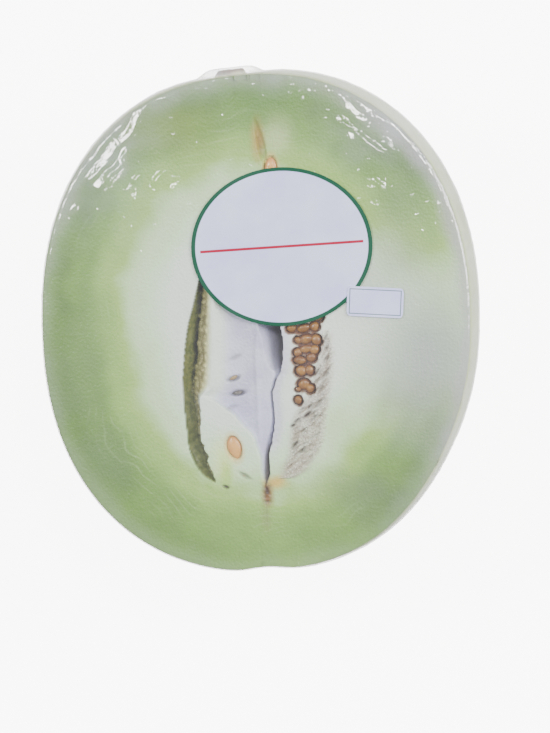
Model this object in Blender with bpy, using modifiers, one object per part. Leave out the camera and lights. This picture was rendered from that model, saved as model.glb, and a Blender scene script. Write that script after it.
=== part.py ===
"""Half a honeydew melon, cut lengthwise and wrapped in cling film, with two stickers on the film.

Units are metres and +Z is up. The half lies on its round back: the cut face is level and looks up,
+Y runs to the stem end, and the origin is the middle of the small flat spot that it rests on.
Places on the cut face are given in millimetres from the fruit's stem-to-blossom axis.
"""
import math
import random

import bmesh
import bpy
from mathutils import Matrix, Vector

MM = 0.001

# The whole fruit, before the cut
HALF_WIDTH = 83.5 * MM
HALF_LENGTH = 95.5 * MM
HALF_HEIGHT = 80 * MM
OUTLINE_POWER = 2.25           # 2 is an ellipse, more is squarer
SKEW = 1.0 * MM                # two opposite corners stand out and the other two draw in
FLAT_SIDE = 1.7 * MM           # how far the lower right flank is pressed in
FLAT_SIDE_ANGLE = math.radians(-40)
FLAT_SIDE_SPREAD = math.radians(20)
STEM_ANGLE = math.radians(94)  # seen from above, from +X
STEM_HOLLOW = 1.6 * MM
STEM_SPREAD = 0.16
BLOSSOM_DIMPLE = 3.4 * MM
BLOSSOM_AXIS = Vector((0, -1, 0.12)).normalized()
BLOSSOM_SPREAD = 0.085

# Where it is cut and where it rests
FLAT_DEPTH = 0.6 * MM
CENTRE_HEIGHT = HALF_HEIGHT - FLAT_DEPTH
CUT_HEIGHT = CENTRE_HEIGHT + 18 * MM

# The corky scar where the stem broke off
STEM_SCAR_RADIUS = 6.2 * MM
STEM_SCAR_TOP_RADIUS = 4.8 * MM
STEM_SCAR_PROUD = 2.4 * MM
STEM_SCAR_ROOT = 4 * MM

# Mesh density of the round body
AROUND = 48
ALONG = 32
POLE_CROWDING = 0.25           # draws the rings towards the two ends, where the form turns fast

# Gap left between neighbouring solids
FIT_GAP = 0.35 * MM

# Hollows in the cut face, each from its blossom end to its stem end:
# x, y, half the width, depth, in millimetres
CRESCENT_GAP = [
    (-17.0, -61.0, 0.0, 0.0), (-20.3, -56.6, 1.2, 5.0), (-23.8, -49.5, 3.2, 11.0),
    (-25.3, -38.0, 3.1, 15.0), (-25.5, -23.0, 3.3, 16.0), (-24.4, -7.0, 2.6, 15.0),
    (-21.4, 8.0, 2.1, 12.0), (-17.0, 23.0, 1.7, 9.0), (-11.0, 38.0, 1.2, 6.0),
    (-5.0, 50.0, 0.0, 0.0),
]
CLEFT = [
    (1.0, -63.5, 0.0, 0.0), (1.4, -59.5, 1.0, 4.0), (2.0, -52.0, 1.3, 6.0),
    (3.2, -45.0, 0.6, 6.0), (4.9, -36.0, 0.5, 7.0), (5.5, -27.0, 0.7, 9.0),
    (6.3, -19.0, 2.2, 12.0), (6.4, -11.0, 3.9, 15.0), (5.7, -2.0, 4.5, 17.0),
    (5.5, 14.0, 4.8, 18.0), (6.0, 30.0, 4.4, 16.0), (6.6, 45.0, 3.0, 12.0),
    (7.0, 56.0, 1.4, 7.0), (6.8, 63.0, 0.0, 0.0),
]
LOBE_TROUGH = [
    (-0.6, -58.0, 0.0, 0.0), (-0.3, -52.0, 2.2, 0.9), (-0.6, -44.0, 4.0, 1.4),
    (-1.8, -36.0, 6.4, 1.7), (-4.2, -29.0, 8.6, 1.9), (-5.6, -20.0, 8.9, 2.0),
    (-6.0, -8.0, 8.0, 1.9), (-5.0, 8.0, 6.5, 1.6), (-3.0, 24.0, 0.0, 0.0),
]
SEED_POCKET = [
    (14.6, -33.4, 0.0, 5.0), (15.6, -30.0, 3.2, 6.0), (17.8, -24.5, 4.8, 6.0),
    (18.6, -18.0, 5.4, 6.0), (18.9, -10.0, 6.7, 6.0), (18.9, -2.0, 7.1, 6.0),
    (18.6, 10.0, 7.1, 6.0), (17.6, 24.0, 6.7, 6.0), (15.2, 38.0, 5.6, 6.0),
    (12.4, 47.0, 4.2, 6.0), (10.6, 51.5, 0.0, 5.0),
]
TOP_FISSURE = [
    (6.9, 60.5, 0.0, 0.0), (6.5, 64.5, 0.8, 3.5), (5.5, 71.0, 0.7, 3.0), (4.0, 77.5, 0.0, 0.0),
]
GAP_LEAN = 4.5 * MM            # the cavity wall runs in under the lobe
SCALLOPS = 15                  # seed hollows along the lobe's bare side
SCALLOP_DEPTH = 0.42           # share of the gap's half width
LID = 2 * MM                   # how far each cutter stands out of the cut face

# Dry seed hollows beside the seeds: the middle line of their strip and half its width, in mm
PIT_STRIP = [
    (26.4, -4.0, 1.8), (27.0, -16.0, 2.0), (25.6, -29.0, 2.4), (21.6, -38.0, 4.6),
    (18.0, -47.0, 4.4), (13.6, -55.0, 2.2),
]
PIT_ROWS = 14
PIT_SIZE = Vector((2.0, 0.75, 1.5)) * MM
PIT_ANGLE = math.radians(35)
LOBE_PITS = [(-8.4, -11.8), (-10.8, -31.2)]
LOBE_PIT_SIZE = Vector((1.7, 1.0, 3.2)) * MM
SPOT_PIT = (-13.8, -60.6)
SPOT_PIT_SIZE = Vector((1.2, 0.8, 1.6)) * MM

# Seeds of the row stand on end in their bed, so that only the tips show
SEED_TIP = Vector((1.95, 2.3, 1.7)) * MM
SEED_TIP_HEIGHT = CUT_HEIGHT - 2.3 * MM
SEED_ROW_PITCH = 4.1
SEED_COLUMN_PITCH = 3.7
BED_TOP = CUT_HEIGHT - 2.6 * MM
BED_DEPTH = 2.4                # in mm, like the pocket's
BED_CROWN = 0.6 * MM
BED_WIDTH = 0.75               # share of the pocket's width
ROW_SEED = 11

# Single seeds: x, y in mm, length, width and thickness, turn from +Y
LOOSE_SEEDS = {
    "seed_left": (-10.1, -46.4, 8.6, 5.2, 2.4, 14),
    "seed_top": (9.3, 57.9, 9.4, 4.8, 2.4, -4),
    "seed_edge_upper": (-9.2, -19.8, 3.6, 1.5, 2.0, -66),
    "seed_edge_middle": (-8.0, -25.6, 4.2, 1.8, 2.0, -80),
    "seed_edge_lower": (-7.4, -57.7, 4.6, 1.6, 2.0, 62),
}
SEED_SUNK = 0.3 * MM           # top of a single seed under the cut face
PIT_MARGIN = 0.9 * MM

# Cling film
FILM_WALL = 0.3 * MM
FILM_EDGE_HEIGHT = 3 * MM      # the gathered edge underneath, clear of the surface

# Stickers
STICKER_THICK = 0.3 * MM
OVAL_SIZE = (68.5 * MM, 59.5 * MM)
OVAL_CENTRE = (12.0 * MM, 29.0 * MM)
OVAL_TURN = math.radians(1.3)
SMALL_SIZE = (21.2 * MM, 11.2 * MM)
SMALL_CENTRE = (46.2 * MM, 6.8 * MM)
SMALL_TURN = math.radians(-5.2)
SMALL_CORNER = 1.6 * MM
SMALL_STEP_AT = -2.4 * MM      # from its middle, where it comes down off the oval's edge
SMALL_STEP_HALF = 2.2 * MM

FLESH = ((0.66, 0.77, 0.52, 1), 0.35)
SEED_TAN = ((0.55, 0.30, 0.12, 1), 0.25)
SEED_PALE = ((0.80, 0.52, 0.30, 1), 0.35)
CLEAR_FILM = ((0.90, 0.93, 0.92, 1), 0.08)
STICKER_WHITE = ((0.80, 0.81, 0.88, 1), 0.4)


def clear_scene():
    for thing in list(bpy.data.objects):
        bpy.data.objects.remove(thing, do_unlink=True)


def new_collection(name):
    group = bpy.data.collections.new(name)
    bpy.context.scene.collection.children.link(group)
    return group


def new_material(name, finish):
    colour, roughness = finish
    material = bpy.data.materials.new(name)
    material.use_nodes = True
    shader = material.node_tree.nodes["Principled BSDF"]
    shader.inputs["Base Color"].default_value = colour
    shader.inputs["Roughness"].default_value = roughness
    shader.inputs["Metallic"].default_value = 0.0
    return material


def add_object(name, bm, group, material=None, smooth=True):
    mesh = bpy.data.meshes.new(name)
    bm.to_mesh(mesh)
    bm.free()
    if smooth:
        mesh.shade_smooth()
        mesh.set_sharp_from_angle(angle=math.radians(40))
    thing = bpy.data.objects.new(name, mesh)
    group.objects.link(thing)
    if material:
        mesh.materials.append(material)
    return thing


def add_cutter(name, bm, group):
    cutter = add_object(name, bm, group, smooth=False)
    cutter.hide_render = True
    cutter.display_type = "WIRE"
    return cutter


def bell(distance, spread):
    return math.exp(-(distance / spread) ** 2)


def fruit_radius(direction):
    """Distance from the fruit's middle to its skin, in a unit direction."""
    across = math.hypot(direction.x / HALF_WIDTH, direction.z / HALF_HEIGHT)
    along = abs(direction.y) / HALF_LENGTH
    radius = (across ** OUTLINE_POWER + along ** OUTLINE_POWER) ** (-1 / OUTLINE_POWER)
    angle = math.atan2(direction.y, direction.x)
    level = 1 - direction.z ** 2
    radius += SKEW * math.sin(2 * angle) * level
    radius -= FLAT_SIDE * bell(angle - FLAT_SIDE_ANGLE, FLAT_SIDE_SPREAD) * level
    radius -= STEM_HOLLOW * bell(direction.angle(stem_axis()), STEM_SPREAD)
    radius -= BLOSSOM_DIMPLE * bell(direction.angle(BLOSSOM_AXIS), BLOSSOM_SPREAD)
    return radius


def stem_axis():
    return Vector((math.cos(STEM_ANGLE), math.sin(STEM_ANGLE), 0))


def slice_level(bm, height, keep_below, fill):
    """Cuts the mesh at a level and keeps one side."""
    normal = Vector((0, 0, 1 if keep_below else -1))
    everything = bm.verts[:] + bm.edges[:] + bm.faces[:]
    cut = bmesh.ops.bisect_plane(bm, geom=everything, dist=1e-7, plane_co=(0, 0, height),
                                 plane_no=normal, clear_outer=True)
    for vert in cut["geom_cut"]:
        if isinstance(vert, bmesh.types.BMVert):
            vert.co.z = height
    if fill:
        rim = [edge for edge in cut["geom_cut"] if isinstance(edge, bmesh.types.BMEdge)]
        for face in bmesh.ops.contextual_create(bm, geom=rim)["faces"]:
            face.normal_update()
            if face.normal.dot(normal) < 0:
                face.normal_flip()


def round_body(stand_off):
    """The fruit's skin, or a surface that stands off it, as a sphere shaped by fruit_radius."""
    bm = bmesh.new()
    bmesh.ops.create_uvsphere(bm, u_segments=AROUND, v_segments=ALONG, radius=1)
    for vert in bm.verts:
        polar = math.acos(max(-1, min(1, vert.co.z)))
        polar -= POLE_CROWDING * math.sin(2 * polar)
        turn = math.atan2(vert.co.y, vert.co.x)
        direction = Vector((math.sin(polar) * math.cos(turn), math.cos(polar),
                            -math.sin(polar) * math.sin(turn)))
        vert.co = direction * (fruit_radius(direction) + stand_off)
        vert.co.z += CENTRE_HEIGHT
    return bm


def path_point(stations, share):
    """A point of the smooth line through the stations, at a share from 0 to 1 of its length."""
    last = len(stations) - 1
    place = min(share * last, last - 1e-9)
    first = int(place)
    t = place - first
    a, b, c, d = (stations[max(0, min(last, first + k))] for k in (-1, 0, 1, 2))
    return [0.5 * (2 * q + (r - p) * t + (2 * p - 5 * q + 4 * r - s) * t ** 2
                   + (3 * q - p - 3 * r + s) * t ** 3)
            for p, q, r, s in zip(a, b, c, d)]


def path_normal(stations, share):
    """The level direction square to the line, on its +X side."""
    step = 0.004
    ahead = path_point(stations, min(1, share + step))
    behind = path_point(stations, max(0, share - step))
    along = Vector((ahead[0] - behind[0], ahead[1] - behind[1])).normalized()
    return Vector((along.y, -along.x))


def boat(stations, around, along, seam, lid, fullness=1.0, lean=0.0, scallops=0):
    """A boat-shaped solid along the stations: its gunwale at the seam's height, its keel below."""
    bm = bmesh.new()
    bmesh.ops.create_uvsphere(bm, u_segments=around, v_segments=along, radius=1)
    for vert in bm.verts:
        share = math.acos(max(-1, min(1, vert.co.z))) / math.pi
        girth = math.hypot(vert.co.x, vert.co.y)
        side, rise = (vert.co.x / girth, vert.co.y / girth) if girth > 1e-6 else (0, 0)
        x, y, half_width, depth = path_point(stations, share)
        normal = path_normal(stations, share)
        reach = math.copysign(abs(side) ** fullness, side) * max(half_width, 0)
        if scallops and side > 0:
            reach *= 1 - SCALLOP_DEPTH * abs(math.sin(math.pi * scallops * share))
        tall = math.copysign(abs(rise) ** fullness, rise)
        tall *= lid if rise > 0 else max(depth, 0) * MM
        end_of_line = min(1, girth * 4)
        inward = lean * max(0, -rise) ** 2 * end_of_line
        vert.co = ((x + normal.x * reach) * MM + inward, (y + normal.y * reach) * MM,
                   seam + tall * end_of_line)
    return bm


def egg(centre, size, turn=0.0, tilt=0.0, around=10, along=8, taper=0.0):
    """An ellipsoid of three half sizes; the taper draws its +Y end in, as a seed's tip."""
    bm = bmesh.new()
    bmesh.ops.create_uvsphere(bm, u_segments=around, v_segments=along, radius=1)
    bmesh.ops.rotate(bm, verts=bm.verts, matrix=Matrix.Rotation(math.radians(-90), 3, "X"))
    for vert in bm.verts:
        narrow = 1 - taper * max(0, vert.co.y) ** 2
        vert.co = (vert.co.x * size[0] * narrow, vert.co.y * size[1], vert.co.z * size[2])
    turned = Matrix.Rotation(turn, 3, "Z") @ Matrix.Rotation(tilt, 3, "X")
    bmesh.ops.rotate(bm, verts=bm.verts, matrix=turned)
    bmesh.ops.translate(bm, verts=bm.verts, vec=centre)
    return bm


def apply_boolean(thing, operation, group, solver="EXACT"):
    """Joins or cuts a collection's objects into a mesh, and removes them."""
    change = thing.modifiers.new(operation.lower(), "BOOLEAN")
    change.operation = operation
    change.operand_type = "COLLECTION"
    change.collection = group
    change.solver = solver
    evaluated = thing.evaluated_get(bpy.context.evaluated_depsgraph_get())
    joined = bpy.data.meshes.new_from_object(evaluated)
    thing.modifiers.clear()
    thing.data = joined
    for part in list(group.objects):
        bpy.data.objects.remove(part, do_unlink=True)
    bpy.data.collections.remove(group)


def add_stem_scar(group):
    """The round corky stub at the stem end, rooted in the flesh."""
    bm = bmesh.new()
    axis = stem_axis()
    length = STEM_SCAR_PROUD + STEM_SCAR_ROOT
    bmesh.ops.create_cone(bm, cap_ends=True, segments=24, radius1=STEM_SCAR_RADIUS,
                          radius2=STEM_SCAR_TOP_RADIUS, depth=length)
    top_rim = [edge for edge in bm.edges if all(vert.co.z > 0 for vert in edge.verts)]
    bmesh.ops.bevel(bm, geom=top_rim, offset=1.1 * MM, segments=2, affect="EDGES", profile=0.6)
    bmesh.ops.rotate(bm, verts=bm.verts, matrix=axis.to_track_quat("Z", "Y").to_matrix())
    middle = axis * (fruit_radius(axis) + STEM_SCAR_PROUD - length / 2)
    bmesh.ops.translate(bm, verts=bm.verts, vec=middle + Vector((0, 0, CENTRE_HEIGHT)))
    add_object("stem_scar", bm, group)


def add_pit_cutters(group):
    """Slanted empty seed hollows in rows down the strip beside the seeds."""
    draw = random.Random(ROW_SEED)
    for row in range(PIT_ROWS):
        x, y, half_width = path_point(PIT_STRIP, (row + 0.5) / PIT_ROWS)
        columns = 3 if half_width > 3 else 2
        for column in range(columns):
            offset = (column - (columns - 1) / 2) * 2 * half_width / columns * 1.5
            centre = Vector((x + offset, y + offset * 0.5 + draw.uniform(-0.4, 0.4), 0)) * MM
            centre.z = CUT_HEIGHT
            size = PIT_SIZE * draw.uniform(0.85, 1.1)
            turn = PIT_ANGLE + draw.uniform(-0.15, 0.15)
            add_cutter("dry_pit", egg(centre, size, turn, around=6, along=6), group)


def add_pocket_cutters(group):
    """Hollows that hold the single seeds, and the empty ones of the left lobe."""
    for name, (x, y, length, width, thick, turn) in LOOSE_SEEDS.items():
        size = (width / 2 * MM + PIT_MARGIN, length / 2 * MM + PIT_MARGIN,
                thick * MM + SEED_SUNK + 2 * FIT_GAP)
        centre = (x * MM, y * MM, CUT_HEIGHT)
        add_cutter("pocket_" + name, egg(centre, size, math.radians(turn), around=14), group)
    for x, y in LOBE_PITS:
        add_cutter("lobe_pit", egg((x * MM, y * MM, CUT_HEIGHT), LOBE_PIT_SIZE), group)
    add_cutter("spot_pit", egg((SPOT_PIT[0] * MM, SPOT_PIT[1] * MM, CUT_HEIGHT), SPOT_PIT_SIZE),
               group)


def make_melon(parts, material):
    """Rind, flesh and the seed-bearing lobes, grown as one piece and opened by the cut."""
    bm = round_body(0)
    slice_level(bm, 0, keep_below=False, fill=True)
    melon = add_object("melon_half", bm, parts, material)
    stubs = new_collection("stubs")
    add_stem_scar(stubs)
    apply_boolean(melon, "UNION", stubs, solver="MANIFOLD")

    bm = bmesh.new()
    bm.from_mesh(melon.data)
    slice_level(bm, CUT_HEIGHT, keep_below=True, fill=True)
    bm.to_mesh(melon.data)
    bm.free()

    seam = CUT_HEIGHT + 0.1 * MM
    hollows = new_collection("hollows")
    add_cutter("crescent", boat(CRESCENT_GAP, 8, 60, seam, LID, lean=GAP_LEAN,
                                scallops=SCALLOPS), hollows)
    add_cutter("cleft", boat(CLEFT, 8, 36, seam, LID), hollows)
    add_cutter("seed_pocket", boat(SEED_POCKET, 12, 24, seam, LID, fullness=0.6), hollows)
    add_cutter("trough", boat(LOBE_TROUGH, 12, 22, seam, LID, fullness=0.6), hollows)
    add_cutter("fissure", boat(TOP_FISSURE, 8, 12, seam, LID), hollows)
    add_pit_cutters(hollows)
    add_pocket_cutters(hollows)
    apply_boolean(melon, "DIFFERENCE", hollows, solver="MANIFOLD")
    melon.data.shade_smooth()
    melon.data.set_sharp_from_angle(angle=math.radians(40))
    return melon


def seeds_abreast(row, half_width):
    """Three and two seeds side by side by turns, and as few as the pocket has room for."""
    wanted = 3 if row % 2 else 2
    room = half_width * 0.94 - SEED_TIP.y / MM - FIT_GAP / MM
    return max(1, min(wanted, 1 + int(2 * room / SEED_COLUMN_PITCH)))


def pocket_at(y):
    """Middle and half width of the seed pocket where it passes a given y, in mm."""
    steps = 200
    nearest = min((path_point(SEED_POCKET, k / steps) for k in range(steps + 1)),
                  key=lambda point: abs(point[1] - y))
    return nearest[0], nearest[2]


def make_seed_row(parts, material):
    """The exposed seeds, standing in the strand that feeds them."""
    strand = [(x, y, half_width * BED_WIDTH, BED_DEPTH)
              for x, y, half_width, _ in SEED_POCKET[1:-1]]
    for end in (0, -1):
        strand[end] = (*strand[end][:2], 0, BED_DEPTH)
    row_of_seeds = add_object("seed_row", boat(strand, 12, 20, BED_TOP, BED_CROWN), parts, material)
    seeds = new_collection("seeds")
    draw = random.Random(ROW_SEED)
    first_y, last_y = strand[0][1] + SEED_ROW_PITCH / 3, strand[-1][1] - SEED_ROW_PITCH / 3
    for row in range(int((last_y - first_y) / SEED_ROW_PITCH) + 1):
        y = first_y + row * SEED_ROW_PITCH
        x, half_width = pocket_at(y)
        columns = seeds_abreast(row, half_width)
        for column in range(columns):
            across = (column - (columns - 1) / 2) * SEED_COLUMN_PITCH
            centre = Vector((x + across, y + draw.uniform(-0.3, 0.3), 0)) * MM
            centre.z = SEED_TIP_HEIGHT
            turn = draw.uniform(-0.4, 0.4)
            add_object("seed", egg(centre, SEED_TIP, turn, around=8, along=5), seeds)
    apply_boolean(row_of_seeds, "UNION", seeds)
    row_of_seeds.data.shade_smooth()
    return row_of_seeds


def make_loose_seeds(parts, material):
    for name, (x, y, length, width, thick, turn) in LOOSE_SEEDS.items():
        centre = (x * MM, y * MM, CUT_HEIGHT - SEED_SUNK - thick / 2 * MM)
        size = (width / 2 * MM, length / 2 * MM, thick / 2 * MM)
        bm = egg(centre, size, math.radians(turn), taper=0.3)
        add_object(name, bm, parts, material)


def make_film(parts, material):
    """Cling film drawn flat over the cut face and down round the rind, open underneath."""
    bm = round_body(FIT_GAP)
    add_scar_bulge(bm)
    slice_level(bm, CUT_HEIGHT + FIT_GAP, keep_below=True, fill=True)
    slice_level(bm, FILM_EDGE_HEIGHT, keep_below=False, fill=False)
    film = add_object("cling_film", bm, parts, material)
    wall = film.modifiers.new("wall", "SOLIDIFY")
    wall.thickness = FILM_WALL
    wall.offset = 1
    wall.use_even_offset = True
    return film


def add_scar_bulge(bm):
    """Where the film passes over the stem scar it stands as far out as the scar does."""
    middle = Vector((0, 0, CENTRE_HEIGHT))
    axis = stem_axis()
    clear = STEM_SCAR_RADIUS + 2.5 * MM
    fade = 10 * MM
    for vert in bm.verts:
        out = vert.co - middle
        if out.dot(axis) <= 0:
            continue
        aside = (out - axis * out.dot(axis)).length
        share = max(0, min(1, (clear + fade - aside) / fade))
        vert.co += axis * (STEM_SCAR_PROUD + FIT_GAP) * share * share * (3 - 2 * share)


def make_oval_sticker(parts, material, height):
    """A flat oval plate from an outline curve."""
    curve = bpy.data.curves.new("label_oval", "CURVE")
    curve.dimensions = "2D"
    curve.fill_mode = "BOTH"
    curve.extrude = STICKER_THICK / 2
    curve.resolution_u = 12
    spline = curve.splines.new("BEZIER")
    spline.bezier_points.add(3)
    spline.use_cyclic_u = True
    half_x, half_y = OVAL_SIZE[0] / 2, OVAL_SIZE[1] / 2
    handle = 4 / 3 * math.tan(math.radians(90) / 4)
    for quarter, point in enumerate(spline.bezier_points):
        turn = math.radians(90) * quarter
        c, s = math.cos(turn), math.sin(turn)
        point.co = (half_x * c, half_y * s, 0)
        point.handle_left = (half_x * (c + handle * s), half_y * (s - handle * c), 0)
        point.handle_right = (half_x * (c - handle * s), half_y * (s + handle * c), 0)
    sticker = bpy.data.objects.new("label_oval", curve)
    curve.materials.append(material)
    parts.objects.link(sticker)
    sticker.location = (*OVAL_CENTRE, height + STICKER_THICK / 2)
    sticker.rotation_euler.z = OVAL_TURN
    return sticker


def make_small_sticker(parts, material, height):
    """A small plate with round corners; its left end steps up over the oval sticker's edge."""
    bm = bmesh.new()
    bmesh.ops.create_grid(bm, x_segments=14, y_segments=6, size=0.5)
    half_x, half_y = SMALL_SIZE[0] / 2, SMALL_SIZE[1] / 2
    step = STICKER_THICK + FIT_GAP
    for vert in bm.verts:
        x, y = vert.co.x * SMALL_SIZE[0], vert.co.y * SMALL_SIZE[1]
        past = max(0, abs(x) - (half_x - SMALL_CORNER))
        room = SMALL_CORNER - math.sqrt(max(0, SMALL_CORNER ** 2 - past ** 2))
        y *= (half_y - room) / half_y
        share = max(0, min(1, (SMALL_STEP_AT + SMALL_STEP_HALF - x) / (2 * SMALL_STEP_HALF)))
        vert.co = (x, y, step * share * share * (3 - 2 * share))
    sticker = add_object("label_small", bm, parts, material)
    sticker.location = (*SMALL_CENTRE, height)
    sticker.rotation_euler.z = SMALL_TURN
    wall = sticker.modifiers.new("paper", "SOLIDIFY")
    wall.thickness = STICKER_THICK
    wall.offset = 1
    return sticker


def main():
    clear_scene()
    parts = new_collection("honeydew_half")
    make_melon(parts, new_material("flesh", FLESH))
    make_seed_row(parts, new_material("seeds_tan", SEED_TAN))
    make_loose_seeds(parts, new_material("seeds_pale", SEED_PALE))
    make_film(parts, new_material("film", CLEAR_FILM))
    paper = new_material("paper", STICKER_WHITE)
    sticker_height = CUT_HEIGHT + 2 * FIT_GAP + FILM_WALL
    make_oval_sticker(parts, paper, sticker_height)
    make_small_sticker(parts, paper, sticker_height)

    stand = bpy.data.objects.new("honeydew", None)
    parts.objects.link(stand)
    for thing in parts.objects:
        if thing is not stand:
            thing.parent = stand


main()
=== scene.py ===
# %% [markdown]
# # Half a honeydew melon under cling film
# The real object is a supermarket half: cut from stem to blossom end, wrapped in clear film, with
# two paper labels stuck on the film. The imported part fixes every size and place. This lesson
# dresses it: the flesh gets its hollows, fibres and colours, the seeds become single seeds, and
# the film gets its folds. Sizes are given in millimetres and turned into metres at the end.

import math

import bpy
import numpy as np
from mathutils import Matrix, Vector


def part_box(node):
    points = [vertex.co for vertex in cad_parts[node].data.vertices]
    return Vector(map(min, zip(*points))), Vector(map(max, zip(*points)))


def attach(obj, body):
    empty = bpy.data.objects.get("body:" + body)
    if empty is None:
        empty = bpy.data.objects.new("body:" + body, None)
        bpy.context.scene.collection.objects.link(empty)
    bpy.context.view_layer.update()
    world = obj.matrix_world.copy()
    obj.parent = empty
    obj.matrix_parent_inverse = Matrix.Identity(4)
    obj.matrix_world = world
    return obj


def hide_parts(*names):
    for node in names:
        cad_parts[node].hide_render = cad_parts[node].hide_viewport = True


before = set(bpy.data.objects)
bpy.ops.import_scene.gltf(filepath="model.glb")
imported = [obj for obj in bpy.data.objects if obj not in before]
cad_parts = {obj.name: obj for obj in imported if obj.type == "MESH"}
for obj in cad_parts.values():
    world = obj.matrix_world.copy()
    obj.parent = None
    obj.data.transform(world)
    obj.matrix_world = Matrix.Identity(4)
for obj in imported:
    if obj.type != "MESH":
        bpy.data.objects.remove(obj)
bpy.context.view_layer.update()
bpy.ops.object.select_all(action="DESELECT")
MM = 0.001
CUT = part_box("melon_half")[1].z / MM
print("cut face at", round(CUT, 2), "mm, nodes:", sorted(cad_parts))

# %% [markdown]
# ## Camera
# The half was seen from nearly straight above, a little from the right and from the stem end, and
# turned a few degrees. The camera stands a metre away and its lens makes one pixel of a
# 550 x 733 picture as large as 0.38 mm on the fruit.

# %% Camera
PICTURE = (550, 733)
MM_PER_PIXEL = 0.3836
CAMERA_DISTANCE = 1000
LEAN_RIGHT = math.radians(8)
LEAN_UP = math.radians(5)
ROLL = math.radians(3.05)
FRUIT_PIXEL = (260.7, 320.5)
SENSOR = 36
FRUIT_MIDDLE = Vector((0, 0, 79.0))

eye_way = Vector((math.tan(LEAN_RIGHT), math.tan(LEAN_UP), 1)).normalized()
side = (-eye_way).cross(Vector((0, 1, 0))).normalized()
rise = side.cross(-eye_way)
image_x = side * math.cos(ROLL) - rise * math.sin(ROLL)
image_y = side * math.sin(ROLL) + rise * math.cos(ROLL)
aim = FRUIT_MIDDLE + image_x * (PICTURE[0] / 2 - FRUIT_PIXEL[0]) * MM_PER_PIXEL
aim -= image_y * (PICTURE[1] / 2 - FRUIT_PIXEL[1]) * MM_PER_PIXEL
eye = FRUIT_MIDDLE + eye_way * CAMERA_DISTANCE
ahead = (aim - eye).normalized()
image_x = (image_x - ahead * image_x.dot(ahead)).normalized()
image_y = image_x.cross(ahead)

bpy.ops.object.camera_add(location=eye * MM)
camera = bpy.context.object
camera.rotation_euler = Matrix((image_x, image_y, -ahead)).transposed().to_euler()
camera.data.sensor_width = SENSOR
camera.data.lens = SENSOR * CAMERA_DISTANCE / MM_PER_PIXEL / max(PICTURE)
camera.data.clip_start = 0.05
bpy.context.scene.camera = camera
print("lens", round(camera.data.lens, 1), "mm")

# %% [markdown]
# ## Light
# The photo has soft light from everywhere, and two bright lamps beyond the stem end that the film
# mirrors as broken white patches. A white world gives the first. Two small area lights give the
# second: small ones are bright enough to mirror well without lighting the flesh much. A third,
# large and soft, stands to the right and shades the hollows.

# %% Light
SKY_TINT, SKY_STRENGTH = (0.95, 0.97, 1.0, 1), 0.55


def add_lamp(name, place, target, power, wide, tall):
    """An area light at a place in metres, turned towards a target."""
    bpy.ops.object.light_add(type="AREA", location=place)
    lamp = bpy.context.object
    lamp.name = name
    lamp.data.shape = "RECTANGLE"
    lamp.data.size = wide
    lamp.data.size_y = tall
    lamp.data.energy = power
    lamp.rotation_euler = (Vector(target) - Vector(place)).to_track_quat("-Z", "Y").to_euler()
    return lamp


add_lamp("lamp_left", (-0.72, 0.42, 1.30), (0, 0, 0.09), 13, 0.36, 0.16)
add_lamp("lamp_right", (0.42, 0.50, 1.50), (0, 0, 0.09), 13, 0.36, 0.16)
add_lamp("soft_box", (1.3, 0.35, 1.1), (0, 0, 0.05), 26, 0.9, 0.7)

world = bpy.data.worlds.new("studio")
bpy.context.scene.world = world
world.use_nodes = True
background = world.node_tree.nodes["Background"]
background.inputs["Color"].default_value = SKY_TINT
background.inputs["Strength"].default_value = SKY_STRENGTH

# %% [markdown]
# ## Helpers for nodes
# Every material is made of nodes on Object coordinates, so that nothing slides when a piece is
# exported. A few short helpers keep the node code readable: one puts a node in place, and the
# others add arithmetic, a soft step, noise, a mix of two colours or a ramp.

# %% Node helpers
def put(tree, kind, settings=None, **inputs):
    """Adds a shader node; each input is a value, or a socket to link from."""
    node = tree.nodes.new(kind)
    for name, value in (settings or {}).items():
        setattr(node, name, value)
    for name, value in inputs.items():
        feed(tree, node.inputs[name.replace("_", " ")], value)
    return node


def feed(tree, socket, value):
    if isinstance(value, bpy.types.NodeSocket):
        tree.links.new(value, socket)
    else:
        socket.default_value = value


def reckon(tree, operation, *values, clamp=False):
    """A math node's result."""
    node = put(tree, "ShaderNodeMath", {"operation": operation, "use_clamp": clamp})
    for socket, value in zip(node.inputs, values):
        feed(tree, socket, value)
    return node.outputs[0]


def mix(tree, share, under, over, mode="MIX"):
    """Two colours mixed by a share."""
    node = put(tree, "ShaderNodeMix", {"data_type": "RGBA", "blend_type": mode})
    for place, value in ((0, share), (6, under), (7, over)):
        feed(tree, node.inputs[place], value)
    return node.outputs[2]


def times(tree, *values, clamp=False):
    """The product of two values."""
    return reckon(tree, "MULTIPLY", *values, clamp=clamp)


def fade(tree, value, low, high, soft=False):
    """0 at low, 1 at high, and a step between."""
    settings = {"interpolation_type": "SMOOTHSTEP"} if soft else {}
    node = put(tree, "ShaderNodeMapRange", settings, Value=value, From_Min=low, From_Max=high)
    return node.outputs[0]


def drift(tree, place, scale, detail=2.0):
    """Noise from 0 to 1; the scale is in bumps per millimetre."""
    return put(tree, "ShaderNodeTexNoise", Vector=place, Scale=scale, Detail=detail).outputs[0]


def ramp(tree, value, stops, smooth=True):
    """A colour ramp; each stop is a place from 0 to 1 and a colour or a grey."""
    node = put(tree, "ShaderNodeValToRGB", Fac=value)
    node.color_ramp.interpolation = "EASE" if smooth else "LINEAR"
    for number, (place, colour) in enumerate(stops):
        shade = colour if isinstance(colour, tuple) else (colour, colour, colour, 1)
        if number < 2:
            element = node.color_ramp.elements[number]
            element.position = place
        else:
            element = node.color_ramp.elements.new(place)
        element.color = shade
    return node.outputs["Color"]


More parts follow.
